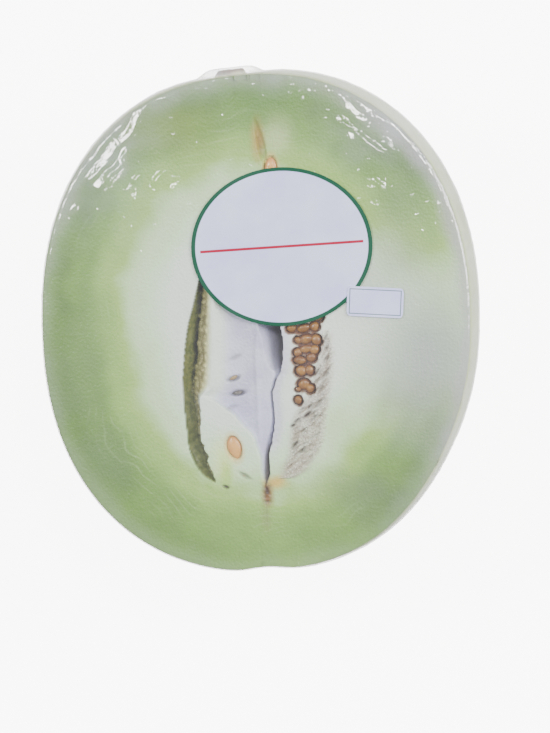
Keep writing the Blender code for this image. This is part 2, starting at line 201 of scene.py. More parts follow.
def colour(red, green, blue):
    """A colour as seen on a screen, 0 to 255, as the linear value that shaders use."""
    parts = [part / 255 for part in (red, green, blue)]
    linear = [p / 12.92 if p <= 0.04045 else ((p + 0.055) / 1.055) ** 2.4 for p in parts]
    return (*linear, 1)


def place_in_mm(tree):
    """Object coordinates in millimetres."""
    source = put(tree, "ShaderNodeTexCoord").outputs["Object"]
    scaled = put(tree, "ShaderNodeVectorMath", {"operation": "SCALE"}, Vector=source, Scale=1 / MM)
    return scaled.outputs[0]


def new_material(name):
    """A material with its tree, its shader and its place socket."""
    material = bpy.data.materials.new(name)
    material.use_nodes = True
    tree = material.node_tree
    return material, tree, tree.nodes["Principled BSDF"], place_in_mm(tree)


# %% [markdown]
# Soft patches of colour come up again and again: a greener cheek, the orange halo round the scar,
# the cream side of a lobe. One node group makes such a patch from a middle and a size, with its
# edge broken by noise. Another group gives the fine wet grain of flesh as a height.

# %% Node groups
def new_group(name, inputs, outputs):
    """A node group with named inputs and outputs."""
    group = bpy.data.node_groups.new(name, "ShaderNodeTree")
    for title, kind, value in inputs:
        socket = group.interface.new_socket(title, in_out="INPUT", socket_type=kind)
        if value is not None:
            socket.default_value = value
    for title, kind in outputs:
        group.interface.new_socket(title, in_out="OUTPUT", socket_type=kind)
    entry = group.nodes.new("NodeGroupInput")
    leave = group.nodes.new("NodeGroupOutput")
    return group, entry, leave


patch_group, entry, leave = new_group(
    "soft_patch",
    [("Place", "NodeSocketVector", None), ("Middle", "NodeSocketVector", (0, 0, 0)),
     ("Size", "NodeSocketVector", (10, 10, 10)), ("Raggedness", "NodeSocketFloat", 0.3),
     ("Grain", "NodeSocketFloat", 0.15)],
    [("Mask", "NodeSocketFloat")])
away = put(patch_group, "ShaderNodeVectorMath", {"operation": "SUBTRACT"})
patch_group.links.new(entry.outputs["Place"], away.inputs[0])
patch_group.links.new(entry.outputs["Middle"], away.inputs[1])
spread = put(patch_group, "ShaderNodeVectorMath", {"operation": "DIVIDE"})
patch_group.links.new(away.outputs[0], spread.inputs[0])
patch_group.links.new(entry.outputs["Size"], spread.inputs[1])
reach = put(patch_group, "ShaderNodeVectorMath", {"operation": "LENGTH"})
patch_group.links.new(spread.outputs[0], reach.inputs[0])
rough = drift(patch_group, entry.outputs["Place"], entry.outputs["Grain"], 3.0)
broken = times(patch_group, reckon(patch_group, "SUBTRACT", rough, 0.5),
               entry.outputs["Raggedness"])
distance = reckon(patch_group, "ADD", reach.outputs["Value"], broken)
patch_group.links.new(fade(patch_group, distance, 1.0, 0.0, soft=True), leave.inputs["Mask"])

grain_group, entry, leave = new_group(
    "wet_grain",
    [("Place", "NodeSocketVector", None), ("Cells", "NodeSocketFloat", 0.8),
     ("Clouds", "NodeSocketFloat", 0.06)],
    [("Height", "NodeSocketFloat"), ("Clouds", "NodeSocketFloat")])
cells = put(grain_group, "ShaderNodeTexVoronoi", Vector=entry.outputs["Place"],
            Scale=entry.outputs["Cells"])
fine = drift(grain_group, entry.outputs["Place"], entry.outputs["Cells"], 4.0)
height = reckon(grain_group, "MULTIPLY_ADD", cells.outputs["Distance"], 0.5, fine)
grain_group.links.new(height, leave.inputs["Height"])
clouds = put(grain_group, "ShaderNodeTexNoise", Vector=entry.outputs["Place"],
             Scale=entry.outputs["Clouds"], Detail=5.0, Roughness=0.6)
grain_group.links.new(clouds.outputs[0], leave.inputs["Clouds"])
print("node groups:", [group.name for group in bpy.data.node_groups])


def patch(tree, place, middle, size, ragged, grain):
    """The mask of one soft patch; its middle and size are in millimetres."""
    node = put(tree, "ShaderNodeGroup", {"node_tree": patch_group}, Place=place, Middle=middle,
               Size=size, Raggedness=ragged, Grain=grain)
    return node.outputs[0]


def grain(tree, place, cells, clouds):
    """The wet grain's height and its slow clouds."""
    node = put(tree, "ShaderNodeGroup", {"node_tree": grain_group}, Place=place, Cells=cells,
               Clouds=clouds)
    return node.outputs["Height"], node.outputs["Clouds"]


def bump(tree, height, depth, strength=1.0):
    """A bump node's normal; the depth is in millimetres."""
    node = put(tree, "ShaderNodeBump", Height=height, Distance=depth * MM, Strength=strength)
    return node.outputs[0]


# %% [markdown]
# ## The floor
# A plain pale sheet that runs far past the picture on every side. It glows for the camera only,
# so it looks as white as the photo's backdrop but doesn't light the fruit from below.

# %% Floor
FLOOR_GLOW = 7.5
bpy.ops.mesh.primitive_plane_add(size=8)
floor = bpy.context.object
floor.name = "floor"
paper, tree, shader, place = new_material("pale_paper")
shade = mix(tree, drift(tree, place, 0.3, 3.0), (0.93, 0.93, 0.935, 1), (0.95, 0.95, 0.95, 1))
feed(tree, shader.inputs["Base Color"], shade)
shader.inputs["Roughness"].default_value = 0.9
shader.inputs["Specular IOR Level"].default_value = 0.1
shader.inputs["Emission Color"].default_value = (1, 1, 1, 1)
seen = put(tree, "ShaderNodeLightPath").outputs["Is Camera Ray"]
feed(tree, shader.inputs["Emission Strength"], times(tree, seen, FLOOR_GLOW))
floor.data.materials.append(paper)

# %% [markdown]
# ## The fruit's form
# A honeydew is a squarish egg: a superellipse from stem to blossom end, round across. One corner
# pair stands out a little, the lower right flank is flatter, the stem end is drawn in round its
# scar and the blossom end has a dimple. One formula gives the distance from the middle to the
# skin in any direction, so that skin and film share the same form.

# %% Form of the fruit
HALF_WIDTH, HALF_LENGTH, HALF_HEIGHT = 83.5, 95.5, 80.0
OUTLINE_POWER = 2.25
SKEW = 1.0
FLAT_SIDE, FLAT_SIDE_ANGLE, FLAT_SIDE_SPREAD = 1.7, math.radians(-40), math.radians(20)
STEM_HOLLOW, STEM_SPREAD = 1.6, 0.16
BLOSSOM_DIMPLE, BLOSSOM_SPREAD = 3.4, 0.085
STEM_AXIS = np.array((math.cos(math.radians(94)), math.sin(math.radians(94)), 0))
BLOSSOM_AXIS = np.array(Vector((0, -1, 0.12)).normalized())
FRUIT_HEIGHT = 79.4


def smooth(low, high, value):
    """0 below low, 1 above high, and a soft step between; low may be above high."""
    share = np.clip((value - low) / (high - low), 0, 1)
    return share * share * (3 - 2 * share)


def bell(distance, width):
    return np.exp(-(distance / width) ** 2)


def angle_to(way, axis):
    return np.arccos(np.clip(way @ axis, -1, 1))


def fruit_radius(way):
    """Distance from the fruit's middle to its skin for an array of unit directions."""
    across = np.hypot(way[:, 0] / HALF_WIDTH, way[:, 2] / HALF_HEIGHT)
    along = np.abs(way[:, 1]) / HALF_LENGTH
    radius = (across ** OUTLINE_POWER + along ** OUTLINE_POWER) ** (-1 / OUTLINE_POWER)
    angle = np.arctan2(way[:, 1], way[:, 0])
    level = 1 - way[:, 2] ** 2
    radius += SKEW * np.sin(2 * angle) * level
    radius -= FLAT_SIDE * bell(angle - FLAT_SIDE_ANGLE, FLAT_SIDE_SPREAD) * level
    radius -= STEM_HOLLOW * bell(angle_to(way, STEM_AXIS), STEM_SPREAD)
    radius -= BLOSSOM_DIMPLE * bell(angle_to(way, BLOSSOM_AXIS), BLOSSOM_SPREAD)
    return radius


def noise(x, y, cell, seed):
    """Smooth random heights from -1 to 1 that change over a cell's size."""
    lattice = np.random.default_rng(seed).uniform(-1, 1, (97, 97))
    u, v = x / cell + 500, y / cell + 500
    i, j = np.floor(u).astype(int), np.floor(v).astype(int)
    a, b = smooth(0, 1, u - i), smooth(0, 1, v - j)
    i, j, k, m = i % 97, j % 97, (i + 1) % 97, (j + 1) % 97
    low = lattice[i, j] * (1 - a) + lattice[k, j] * a
    high = lattice[i, m] * (1 - a) + lattice[k, m] * a
    return low * (1 - b) + high * b


def places_of(thing):
    """A mesh object's vertices as an array, in its own units."""
    flat = np.empty(len(thing.data.vertices) * 3)
    thing.data.vertices.foreach_get("co", flat)
    return flat.reshape(-1, 3)


def move_to(thing, places):
    """Puts the vertices at places in millimetres."""
    thing.data.vertices.foreach_set("co", (places * MM).astype(np.float32).ravel())
    thing.data.update()


def paint(thing, name, values):
    """Stores one number per vertex for the material to read."""
    layer = thing.data.attributes.new(name, "FLOAT", "POINT")
    layer.data.foreach_set("value", np.asarray(values, np.float32))


def only(thing):
    """Selects one object and makes it active."""
    bpy.ops.object.select_all(action="DESELECT")
    thing.select_set(True)
    bpy.context.view_layer.objects.active = thing


# %% [markdown]
# ## The rind
# The round back starts as a UV sphere whose poles are the stem and blossom ends, where the form
# turns fastest. Its rings are drawn towards those ends. The corky scar, where the stem broke off,
# is raised from the same surface, so rind and scar are one skin. The knife cut is a bisect, and
# a narrow bevel takes the sharpness off the cut edge.

# %% Rind
AROUND, ALONG, POLE_CROWDING = 192, 168, 0.25
SCAR_RADIUS, SCAR_TOP_RADIUS, SCAR_PROUD = 6.4, 4.7, 2.4
EDGE_ROUNDING = 0.5
FLAT_RING = 1.6


def scar_height(way):
    """How far the stem scar stands out: a round stub with a raised, crumbly rim."""
    aside = angle_to(way, STEM_AXIS) * HALF_LENGTH
    turn = np.arctan2(way[:, 2], way[:, 0]) * 6
    ragged = aside + 0.35 * noise(turn, aside, 2.2, 11)
    stub = SCAR_PROUD * smooth(SCAR_RADIUS, SCAR_TOP_RADIUS, ragged)
    stub -= 0.8 * smooth(3.6, 1.2, ragged)
    stub += 0.22 * noise(way[:, 0] * 96, way[:, 2] * 96, 0.9, 12) * smooth(5.6, 4.4, ragged)
    return stub


bpy.ops.mesh.primitive_uv_sphere_add(segments=AROUND, ring_count=ALONG, radius=1)
melon = bpy.context.object
melon.name = "melon"
ball = places_of(melon)
polar = np.arccos(np.clip(ball[:, 2], -1, 1))
polar -= POLE_CROWDING * np.sin(2 * polar)
turn = np.arctan2(ball[:, 1], ball[:, 0])
way = np.stack((np.sin(polar) * np.cos(turn), np.cos(polar), -np.sin(polar) * np.sin(turn)), 1)
skin = way * (fruit_radius(way) + scar_height(way))[:, None]
skin[:, 2] = np.maximum(skin[:, 2] + FRUIT_HEIGHT, 0)
move_to(melon, skin)

bpy.ops.object.mode_set(mode="EDIT")
bpy.ops.mesh.select_all(action="SELECT")
bpy.ops.mesh.bisect(plane_co=(0, 0, CUT * MM), plane_no=(0, 0, 1), clear_outer=True, use_fill=True)
bpy.ops.object.mode_set(mode="OBJECT")


def face_outward(thing):
    """Turns every face of a closed mesh outward."""
    only(thing)
    bpy.ops.object.mode_set(mode="EDIT")
    bpy.ops.mesh.select_all(action="SELECT")
    bpy.ops.mesh.normals_make_consistent(inside=False)
    bpy.ops.object.mode_set(mode="OBJECT")


def select_top(thing):
    """Selects the faces that lie level in the cut."""
    for face in thing.data.polygons:
        face.select = face.normal.z > 0.999 and face.center.z > (CUT - 0.05) * MM
    for edge in thing.data.edges:
        edge.select = False
    for vertex in thing.data.vertices:
        vertex.select = False


def edit_top(thing, *steps):
    """Runs edit-mode steps on the level face of the cut."""
    select_top(thing)
    bpy.ops.object.mode_set(mode="EDIT")
    bpy.ops.mesh.select_mode(type="FACE")
    for step in steps:
        step()
    bpy.ops.object.mode_set(mode="OBJECT")


edit_top(melon, bpy.ops.mesh.region_to_loop,
         lambda: bpy.ops.mesh.bevel(offset=EDGE_ROUNDING * MM, segments=3, affect="EDGES"))
edit_top(melon, lambda: bpy.ops.mesh.inset(thickness=FLAT_RING * MM),
         lambda: bpy.ops.mesh.delete(type="ONLY_FACE"))
print("rind:", len(melon.data.polygons), "faces")

# %% [markdown]
# ## The hollows in the cut face
# The middle of a honeydew is where the looks are: a gap on the left whose near side is a row of
# bumpy cells, a sunken white lobe, a dark hollow that closes to a cleft, a bed of seeds and the
# slanted sockets that seeds have left. All of it is open from above, so one fine grid whose
# heights come from a formula can hold it. Each hollow follows a line from the blossom end to the
# stem end, given by a few measured points.

# %% Lines of the hollows
def smooth_line(points, count=400):
    """Points (y, value, ...) as a smooth line through them, sampled from the lowest y up."""
    points = np.array(points, float)
    last = len(points) - 1
    spot = np.linspace(0, last - 1e-9, count)
    first = spot.astype(int)
    t = (spot - first)[:, None]
    a, b, c, d = (points[np.clip(first + k, 0, last)] for k in (-1, 0, 1, 2))
    return 0.5 * (2 * b + (c - a) * t + (2 * a - 5 * b + 4 * c - d) * t ** 2
                  + (3 * b - a - 3 * c + d) * t ** 3)


def read_line(points, y, column=1, outside=None):
    """The line's value at each y."""
    line = smooth_line(points)
    return np.interp(y, line[:, 0], line[:, column], left=outside, right=outside)


GAP_OUTER = [(-59.8, -17.9), (-58.8, -19.5), (-56.7, -22.3), (-52.9, -25.2), (-48.6, -27.1),
             (-43.7, -27.9), (-35.7, -28.4), (-26.5, -28.9), (-20.4, -28.8), (-14.4, -28.1),
             (-5.3, -26.8), (1.9, -25.2), (6.7, -23.6), (16.2, -20.7), (27, -16.8), (38, -11.8),
             (50, -5.2)]
CREVICE = [(-59.8, -17.8), (-57.4, -18.9), (-54.3, -21.1), (-50, -21.9), (-45.7, -23.2),
           (-42.6, -24.1), (-35.8, -24.6), (-29.7, -25.3), (-22.4, -25.9), (-16.9, -24.9),
           (-12.1, -24.2), (-7.3, -23.6), (-2.4, -23.2), (2.4, -22.4), (9.6, -21.3),
           (15, -20.1), (27, -16.2), (38, -11.2), (50, -5.1)]
GAP_INNER = [(-59.8, -17.7), (-56.5, -18.8), (-54.3, -20.1), (-51.2, -21.1), (-48.8, -20.7),
             (-45.7, -21.4), (-43.8, -22.5), (-39, -22.8), (-35.3, -22.5), (-30.4, -22.4),
             (-26.5, -22.2), (-24, -19.6), (-20.9, -17.8), (-11.8, -16.9), (-2.7, -16.2),
             (6.4, -15.9), (16, -15.0), (27, -12.6), (38, -9.0), (50, -5.0)]
GAP_DEPTH = [(-59.8, 0), (-57, 3.2), (-50, 5.8), (-38, 7), (-22, 7), (-7, 7), (8, 6.5),
             (23, 5.5), (38, 4), (50, 0)]
SHELF_EDGE = [(-62, 0.8), (-60.5, 0.5), (-55, -0.8), (-51.9, -1.1), (-47.6, -1.6), (-43.3, -2.8),
              (-40.2, -4.5), (-37.4, -7.2), (-34.2, -9.7), (-30.7, -13.8), (-27.8, -18.5),
              (-26.3, -22.3), (-25.4, -26)]
LOBE_RIDGE = [(-64, 1.0), (-60.9, 1.0), (-57.5, 0.6), (-53, 0.2), (-46, -0.3), (-39.7, -0.4),
              (-30.6, -0.3), (-21.5, -0.2), (-12.4, -0.1), (-6.4, 0.4), (-2.2, 0.9), (8, 1.0),
              (20, 1.0), (32, 1.6), (45, 3.4), (56, 5.8), (63, 6.7)]
CLEFT_EDGE = [(-64, 1.2), (-60.9, 1.5), (-59.4, 2.1), (-56.3, 2.9), (-53.3, 2.8), (-49, 3.2),
              (-44.8, 4.4), (-40.6, 5.2), (-36.9, 5.7), (-32.7, 5.8), (-29, 5.5), (-24.8, 5.9),
              (-21.2, 7.2), (-18.5, 8.8), (-17, 9.3), (-14, 10.0), (-11, 10.3), (-5.6, 10.4),
              (-0.7, 9.9), (8, 10.0), (20, 10.4), (32, 10.0), (45, 9.2), (56, 8.0), (63, 6.9)]
HOLLOW_START = [(-64, 1.1), (-60.9, 1.0), (-57.5, 0.5), (-53.2, 0.9), (-49, 1.4), (-44.7, 2.0),
                (-36, 4.2), (-24, 5.0), (-19, 6.5), (-16.3, 4.4), (-10.8, 2.8), (-5.3, 2.3),
                (-0.4, 1.2), (10, 1.0), (30, 1.8), (45, 3.4), (63, 6.8)]
SLOPE_DEPTH = [(-64, 0), (-61, 1.6), (-56, 4.6), (-50, 4.8), (-45, 3.4), (-40, 1.6), (-30, 1.2),
               (-21, 2.5), (-18.6, 5.5), (-15, 11), (-10, 14), (0, 15.5), (14, 16.5), (30, 14.5),
               (45, 10.5), (56, 5.5), (63, 0)]
CLEFT_STEP = [(-64, 0), (-60, 0.6), (-50, 1.3), (-40, 1.5), (-28, 1.5), (-21, 1.2), (-17, 0),
              (63, 0)]
STEM_SLIT = [(60, 7.0, 0, 0), (64.5, 6.5, 0.9, 2.2), (71, 5.5, 0.7, 1.6), (78, 4.0, 0, 0)]


def slit_share(x, middle, half, edge):
    """1 inside a slit, 0 outside, with an edge of a given width."""
    return smooth(half + edge, half, np.abs(x - middle)) * (half > 0.02)


# %% [markdown]
# ## Places of the seeds
# The seeds that show have their own places and sizes, read off one by one. They lie across the
# row and overlap like scales. Under the label the row goes on, drawn with a fixed random seed.
# The pocket that holds the row follows its seeds, so their places are needed before the relief.

# %% Places of the row's seeds
SHOWN_SEEDS = [
    # x, y, width, length, turn in degrees
    (13.9, -1.8, 4.0, 3.6, 10), (18.5, -2.2, 5.4, 3.3, 12), (22.7, -1.6, 4.0, 3.8, 20),
    (16.2, -6.6, 3.4, 2.8, -30), (19.1, -6.4, 5.5, 3.9, 10), (23.1, -6.6, 4.1, 4.4, 30),
    (15.7, -11.2, 3.4, 3.4, -25), (18.9, -10.0, 5.4, 3.2, 8), (22.2, -10.4, 4.1, 3.7, 15),
    (16.5, -14.2, 5.0, 3.3, -6), (20.9, -13.4, 4.3, 3.7, 12), (16.8, -18.2, 4.6, 4.1, -10),
    (19.9, -18.0, 3.8, 4.0, 20), (17.6, -23.4, 4.8, 4.5, 20), (19.8, -25.0, 3.8, 3.5, 0),
    (15.3, -25.2, 2.4, 1.8, 0), (15.1, -29.2, 3.2, 3.5, 25)]
ROW_MIDDLE = [(2, 18.9), (10, 18.6), (24, 17.6), (38, 15.2), (47, 12.4), (50, 11.4)]
ROW_HALF = [(2, 6.4), (10, 6.4), (24, 5.8), (38, 4.4), (47, 2.6), (50, 1.4)]
SEED_PITCH = 3.7
SEED_DEPTH = 1.9


def row_of_seeds():
    """Middle x, y, z, length, width, thickness, turn and tilt of every seed in the row."""
    draw = np.random.default_rng(17)
    seeds = [(x, y, length, width, math.radians(turn)) for x, y, width, length, turn in SHOWN_SEEDS]
    for y in np.arange(2.6, 50, SEED_PITCH):
        half = read_line(ROW_HALF, y)
        count = max(1, int(half * 2 / 4.2) + 1)
        for column in range(count):
            x = read_line(ROW_MIDDLE, y) + half * (2 * (column + 0.5) / count - 1)
            seeds.append((float(x), y + draw.uniform(-0.4, 0.4), draw.uniform(3.3, 3.9),
                          draw.uniform(4.2, 5.2), draw.uniform(-0.3, 0.4)))
    return [(x, y, CUT - SEED_DEPTH + draw.uniform(-0.35, 0.3), length, width,
             draw.uniform(2.6, 3.2), turn, draw.uniform(-0.25, 0.25))
            for x, y, length, width, turn in seeds]


def reach_of_seeds(x, y, seeds):
    """How far a place lies from the nearest seed, 1 on that seed's outline."""
    reach = np.full_like(x, 9.0)
    for x_mid, y_mid, _, length, width, _, turn, _ in seeds:
        near = np.flatnonzero((np.abs(x - x_mid) < 7) & (np.abs(y - y_mid) < 7))
        dx, dy = x[near] - x_mid, y[near] - y_mid
        along = dx * math.cos(turn) + dy * math.sin(turn)
        across = dy * math.cos(turn) - dx * math.sin(turn)
        reach[near] = np.minimum(reach[near], np.hypot(along * 2 / width, across * 2 / length))
    return reach


ROW = row_of_seeds()
print(len(ROW), "seeds in the row")

# %% [markdown]
# The seed sockets on the right are slanted, narrow pits, steep beside the seeds and flatter
# towards the blossom end. The darkest have their own places. The rest are drawn inside a strip
# with a fixed random seed, a row at a time.

# %% Seed sockets
SOCKET_STRIP = [(-58.5, 9.5, 1.6), (-56, 12.0, 3.2), (-50, 15.8, 4.6), (-44, 17.8, 5.4),
                (-38, 18.8, 5.4), (-33, 20.4, 4.8), (-27, 23.2, 3.2), (-20, 25.0, 2.6),
                (-12, 26.6, 1.8), (-3, 27.0, 1.2)]
SOCKET_SEED = 5
DARK_SOCKETS = [
    # x, y, slant in degrees, half length, depth, darkness of tissue and painted shade
    (26.9, -9.3, 62, 2.0, 0.7, 0.3), (26.3, -14.1, 58, 2.0, 0.8, 0.35),
    (25.7, -19.5, 50, 2.6, 1.0, 0.45), (22.7, -18.8, 60, 1.4, 0.9, 0.5),
    (23.9, -25.2, 50, 1.8, 1.0, 0.55), (22.8, -30.3, 42, 1.9, 1.1, 0.5),
    (18.3, -34.8, 34, 2.2, 1.5, 1.0), (20.6, -36.2, 40, 2.4, 1.2, 0.55),
    (14.2, -36.9, 34, 1.6, 1.2, 0.7), (12.6, -38.7, 30, 1.2, 1.3, 0.95),
    (12.8, -46.3, 48, 2.2, 1.2, 0.6), (15.8, -48.2, 42, 1.8, 1.1, 0.6),
    (19.4, -31.6, 46, 1.6, 1.1, 0.45), (16.6, -32.6, 40, 1.3, 0.9, 0.4)]


def draw_sockets():
    """Slanted pits: x, y, slant, half length, half width, depth, darkness."""
    draw = np.random.default_rng(SOCKET_SEED)
    pits = [(x, y, math.radians(slant), reach, 0.55, deep, dark)
            for x, y, slant, reach, deep, dark in DARK_SOCKETS]
    for y in np.arange(-57, -3, 1.9):
        middle = read_line(SOCKET_STRIP, y, 1)
        half = read_line(SOCKET_STRIP, y, 2)
        count = max(1, int(half * 2 / 2.3))
        for column in range(count):
            x = middle + half * (2 * (column + 0.5) / count - 1) + draw.uniform(-0.9, 0.9)
            slant = math.radians(34 + 24 * smooth(-38, -12, y) + draw.uniform(-12, 12))
            faint = draw.uniform(0.0, 1.0) ** 2
            pits.append((x, y + draw.uniform(-0.9, 0.9), slant, draw.uniform(0.8, 2.4),
                         draw.uniform(0.3, 0.5), 0.25 + 0.6 * faint,
                         (0.08 + 0.4 * faint) * smooth(-57, -44, y)))
    return pits


SOCKETS = draw_sockets()
LOBE_PITS = [(-8.2, -12.3, 0.4, 2.4, 0.9, 0.5, 0.35), (-9.2, -20.3, 0.35, 2.4, 0.9, 1.0, 0.6),
             (-7.7, -25.8, 0.12, 2.7, 1.0, 1.3, 0.85), (-10.4, -31.2, 0.2, 2.4, 0.7, 0.5, 0.3),
             (-6.7, -57.2, -0.55, 2.6, 0.7, 1.2, 0.6), (-14.1, -61.3, -0.3, 1.3, 0.6, 1.4, 1.0)]


def pit_share(x, y, pit):
    """1 in the middle of a slanted pit, fading to 0 at its edge."""
    middle_x, middle_y, slant, half_length, half_width = pit[:5]
    near = np.flatnonzero((np.abs(x - middle_x) < 6) & (np.abs(y - middle_y) < 6))
    dx, dy = x[near] - middle_x, y[near] - middle_y
    along = dx * math.cos(slant) + dy * math.sin(slant)
    across = dy * math.cos(slant) - dx * math.sin(slant)
    share = np.zeros_like(x)
    share[near] = np.exp(-((along / half_length) ** 2 + (across / half_width) ** 2) ** 1.5)
    return share


print(len(SOCKETS), "seed sockets")

# %% [markdown]
# The height of the cut face at any point is the sum of these hollows. The same formulas say
# where each colour belongs, so shape and colour cannot drift apart. The grid is fine where the
# photo shows the middle and coarser under the big label.

# %% Relief of the cut face
POCKETS = [(-10.1, -46.4, 0, 8.8, 5.3, 0, math.radians(14), 0),
           (9.3, 57.9, 0, 9.4, 4.8, 0, math.radians(-4), 0)]
KNOB_PITCH, KNOB_SUNK = 2.6, 0.6
CREVICE_DEPTH, CREVICE_WIDTH = 4.0, 0.45
BED_DEPTH, POCKET_DEPTH = 4.4, 1.5
STRAND_HEIGHT = 0.22


def pebbles(x, y, pitch, seed):
    """Domes on a jittered lattice: 1 on each top, 0 in the lines between them."""
    jitter = np.random.default_rng(seed).uniform(0.12, 0.88, (2, 61, 61))
    i, j = np.floor(x / pitch).astype(int), np.floor(y / pitch).astype(int)
    nearest, second = np.full(len(x), 9.0), np.full(len(x), 9.0)
    for step_i in (-1, 0, 1):
        for step_j in (-1, 0, 1):
            u, v = i + step_i, j + step_j
            away = np.hypot(u + jitter[0, u % 61, v % 61] - x / pitch,
                            v + jitter[1, u % 61, v % 61] - y / pitch)
            second = np.minimum(second, np.maximum(nearest, away))
            nearest = np.minimum(nearest, away)
    return smooth(0, 0.6, second - nearest)


def gap_relief(x, y, masks):
    """The gap on the left: an olive outer wall, a crevice, and a bumpy wall on the lobe's side.
    Its masks paint the gap's shade: olive by depth and dark along the crevice.
    """
    outer = read_line(GAP_OUTER, y) + 0.12 * noise(x * 0, y, 5, 21)
    crevice = read_line(CREVICE, y) + 0.3 * noise(x * 0, y, 2.2, 20)
    low_part = smooth(-23, -28, y)
    jagged = 0.5 * noise(x, y, 1.6, 23) + 0.45 * noise(x * 0, y, 1.1, 24)
    inner = read_line(GAP_INNER, y) + jagged * low_part * (0.35 + 0.65 * smooth(-40, -45, y))
    deep = read_line(GAP_DEPTH, y, outside=0)
    far = np.clip((x - outer) / np.maximum(crevice - outer, 0.05), 0, 1)
    near = np.clip((inner - x) / np.maximum(inner - crevice, 0.05), 0, 1)
    within = (x > outer) & (x < inner) & (deep > 0.01)
    far_wall = 0.3 * smooth(0, 0.12, far) + 0.7 * far
    round_wall = near ** 1.5
    torn_wall = 0.45 * smooth(0, 0.18, near) + 0.55 * near
    near_wall = round_wall * (1 - low_part) + torn_wall * low_part
    gap = np.where(x < crevice, far_wall, near_wall) * within
    side = (x > crevice) * within
    knobs = side * smooth(0.15, 0.5, near)
    height = -deep * gap
    height += knobs * (pebbles(x, y, KNOB_PITCH, 22) - KNOB_SUNK)
    line = bell(x - crevice, CREVICE_WIDTH) * smooth(-22, -15, y)
    line = line * (0.6 + 0.6 * noise(x * 0, y, 1.8, 25))
    height -= CREVICE_DEPTH * line * (deep > 1)
    # Painted shade in the gap: olive that darkens with depth, darker knobs near the crevice over
    # their own mottle, and a dark line down the crevice.
    masks["gap"] = smooth(0.1, 0.9, deep * gap) * (1 - side * (1 - 0.45 * smooth(0.5, 1.0, near)))
    masks["knobs"] = knobs
    masks["cream"] = smooth(-0.05, 0.35, near) * (x > crevice) * (1 - low_part) * (deep > 0.5)
    masks["crevice"] = np.clip(line, 0, 1) * (deep > 1)
    return height


def lobe_relief(x, y, height, masks):
    """The sunken lobe, the rib along it, and the hollow that closes to a cleft."""
    ridge = read_line(LOBE_RIDGE, y)
    edge = read_line(CLEFT_EDGE, y) + 0.22 * noise(x * 0, y, 1.5, 26) * smooth(-18, -22, y)
    lobe_left = read_line(GAP_INNER, y)
    shelf = read_line(SHELF_EDGE, y) + 0.35 * noise(x, y, 2.4, 27)
    beyond = np.where(y > -25.4, 3, (x - shelf) * 1.1)
    sunk = smooth(-0.2, 2.2, beyond) * smooth(34, 20, y) * smooth(-63, -58, y)
    u = np.clip((x - lobe_left) / np.maximum(ridge - lobe_left, 1), 0, 1)
    dip = 0.7 * smooth(0, 0.25, u) + 1.7 * np.sin(np.pi * u) ** 1.3 + 0.9 * u
    inside = smooth(0.0, 0.12, u) * (x < edge)
    height -= dip * sunk * inside
    height += 0.45 * bell(x - ridge, 0.9) * sunk * (x < edge) * smooth(-50, -42, y)
    v = np.clip((x - ridge) / np.maximum(edge - ridge, 0.3), 0, 1.2)
    wall = smooth(1.0, 1.0 - 0.4 / np.maximum(edge - ridge, 0.4), v) * (x > ridge)
    start = np.minimum(read_line(HOLLOW_START, y), edge - 0.3)
    fall = np.clip((x - start) / (edge - start), 0, 1)
    slope = read_line(SLOPE_DEPTH, y, outside=0) * fall ** 1.2
    step = read_line(CLEFT_STEP, y, outside=0) * smooth(edge - 1.0, edge - 0.35, x)
    height -= (slope + step) * wall
    lip = smooth(3.6, 0, x - edge) * (x >= edge) * smooth(-16, -20, y) * smooth(-52, -44, y)
    height -= 0.7 * lip
    # Painted shade: the hollow darkens to grey with depth, the slot is brown tissue in shade, and
    # the sunken lobe and the strip beside the cleft turn lavender.
    masks["hollow"] = np.clip(smooth(0.6, 9, slope) + 0.6 * smooth(0.2, 1.2, step), 0, 1) * wall
    masks["slot_tint_and_shade"] = wall * smooth(start - 0.8, start + 1.2, x) * smooth(-42, -52, y)
    masks["lobe"] = sunk * inside * smooth(0.1, 0.5, u)
    strip = smooth(5.5, 0.5, x - edge) * (x >= edge)
    masks["strip"] = strip * smooth(10, 0, y) * smooth(-52, -44, y)
    return height


def seed_relief(x, y, height, masks):
    """The pocket of the row, and the empty sockets beside it with their strands."""
    reach = reach_of_seeds(x, y, ROW) + 0.10 * noise(x, y, 1.3, 28)
    pocket = smooth(1.32, 1.02, reach)
    height -= BED_DEPTH * pocket
    # Painted shade with the pocket's own brown: the bed mask browns the flesh round the seeds.
    masks["bed"] = smooth(1.6, 1.15, reach + 0.12 * noise(x, y, 0.7, 29))
    socket_tint_and_shade = np.zeros_like(x)
    for pit in SOCKETS:
        share = pit_share(x, y, pit)
        height -= pit[5] * share * (1 - pocket)
        socket_tint_and_shade = np.maximum(socket_tint_and_shade, share * pit[6])
    for pit in LOBE_PITS:
        share = pit_share(x, y, pit)
        height -= pit[5] * share
        socket_tint_and_shade = np.maximum(socket_tint_and_shade, share * pit[6])
    # The sockets' colour is brown tissue and painted shade, darker in the deeper pits.
    masks["socket_tint_and_shade"] = socket_tint_and_shade * (1 - pocket)
    strip = read_line(SOCKET_STRIP, y, 1, outside=99)
    strip_half = read_line(SOCKET_STRIP, y, 2, outside=0)
    fibres = smooth(strip_half + 2.5, strip_half - 1, np.abs(x - strip))
    fibres = fibres * smooth(-1, -7, y)
    slant = 0.62 + 0.42 * smooth(-38, -12, y)
    along = x * np.cos(slant) + y * np.sin(slant)
    across = y * np.cos(slant) - x * np.sin(slant)
    strands = noise(along / 3.4, across, 0.8, 30) + 0.6 * noise(along / 2.6, across, 0.45, 31)
    height += STRAND_HEIGHT * strands * fibres * (1 - pocket)
    masks["fibres"] = fibres * (1 - pocket)
    masks["strands"] = np.clip(0.5 - 0.6 * strands, 0, 1) * fibres * (1 - pocket)
    return height


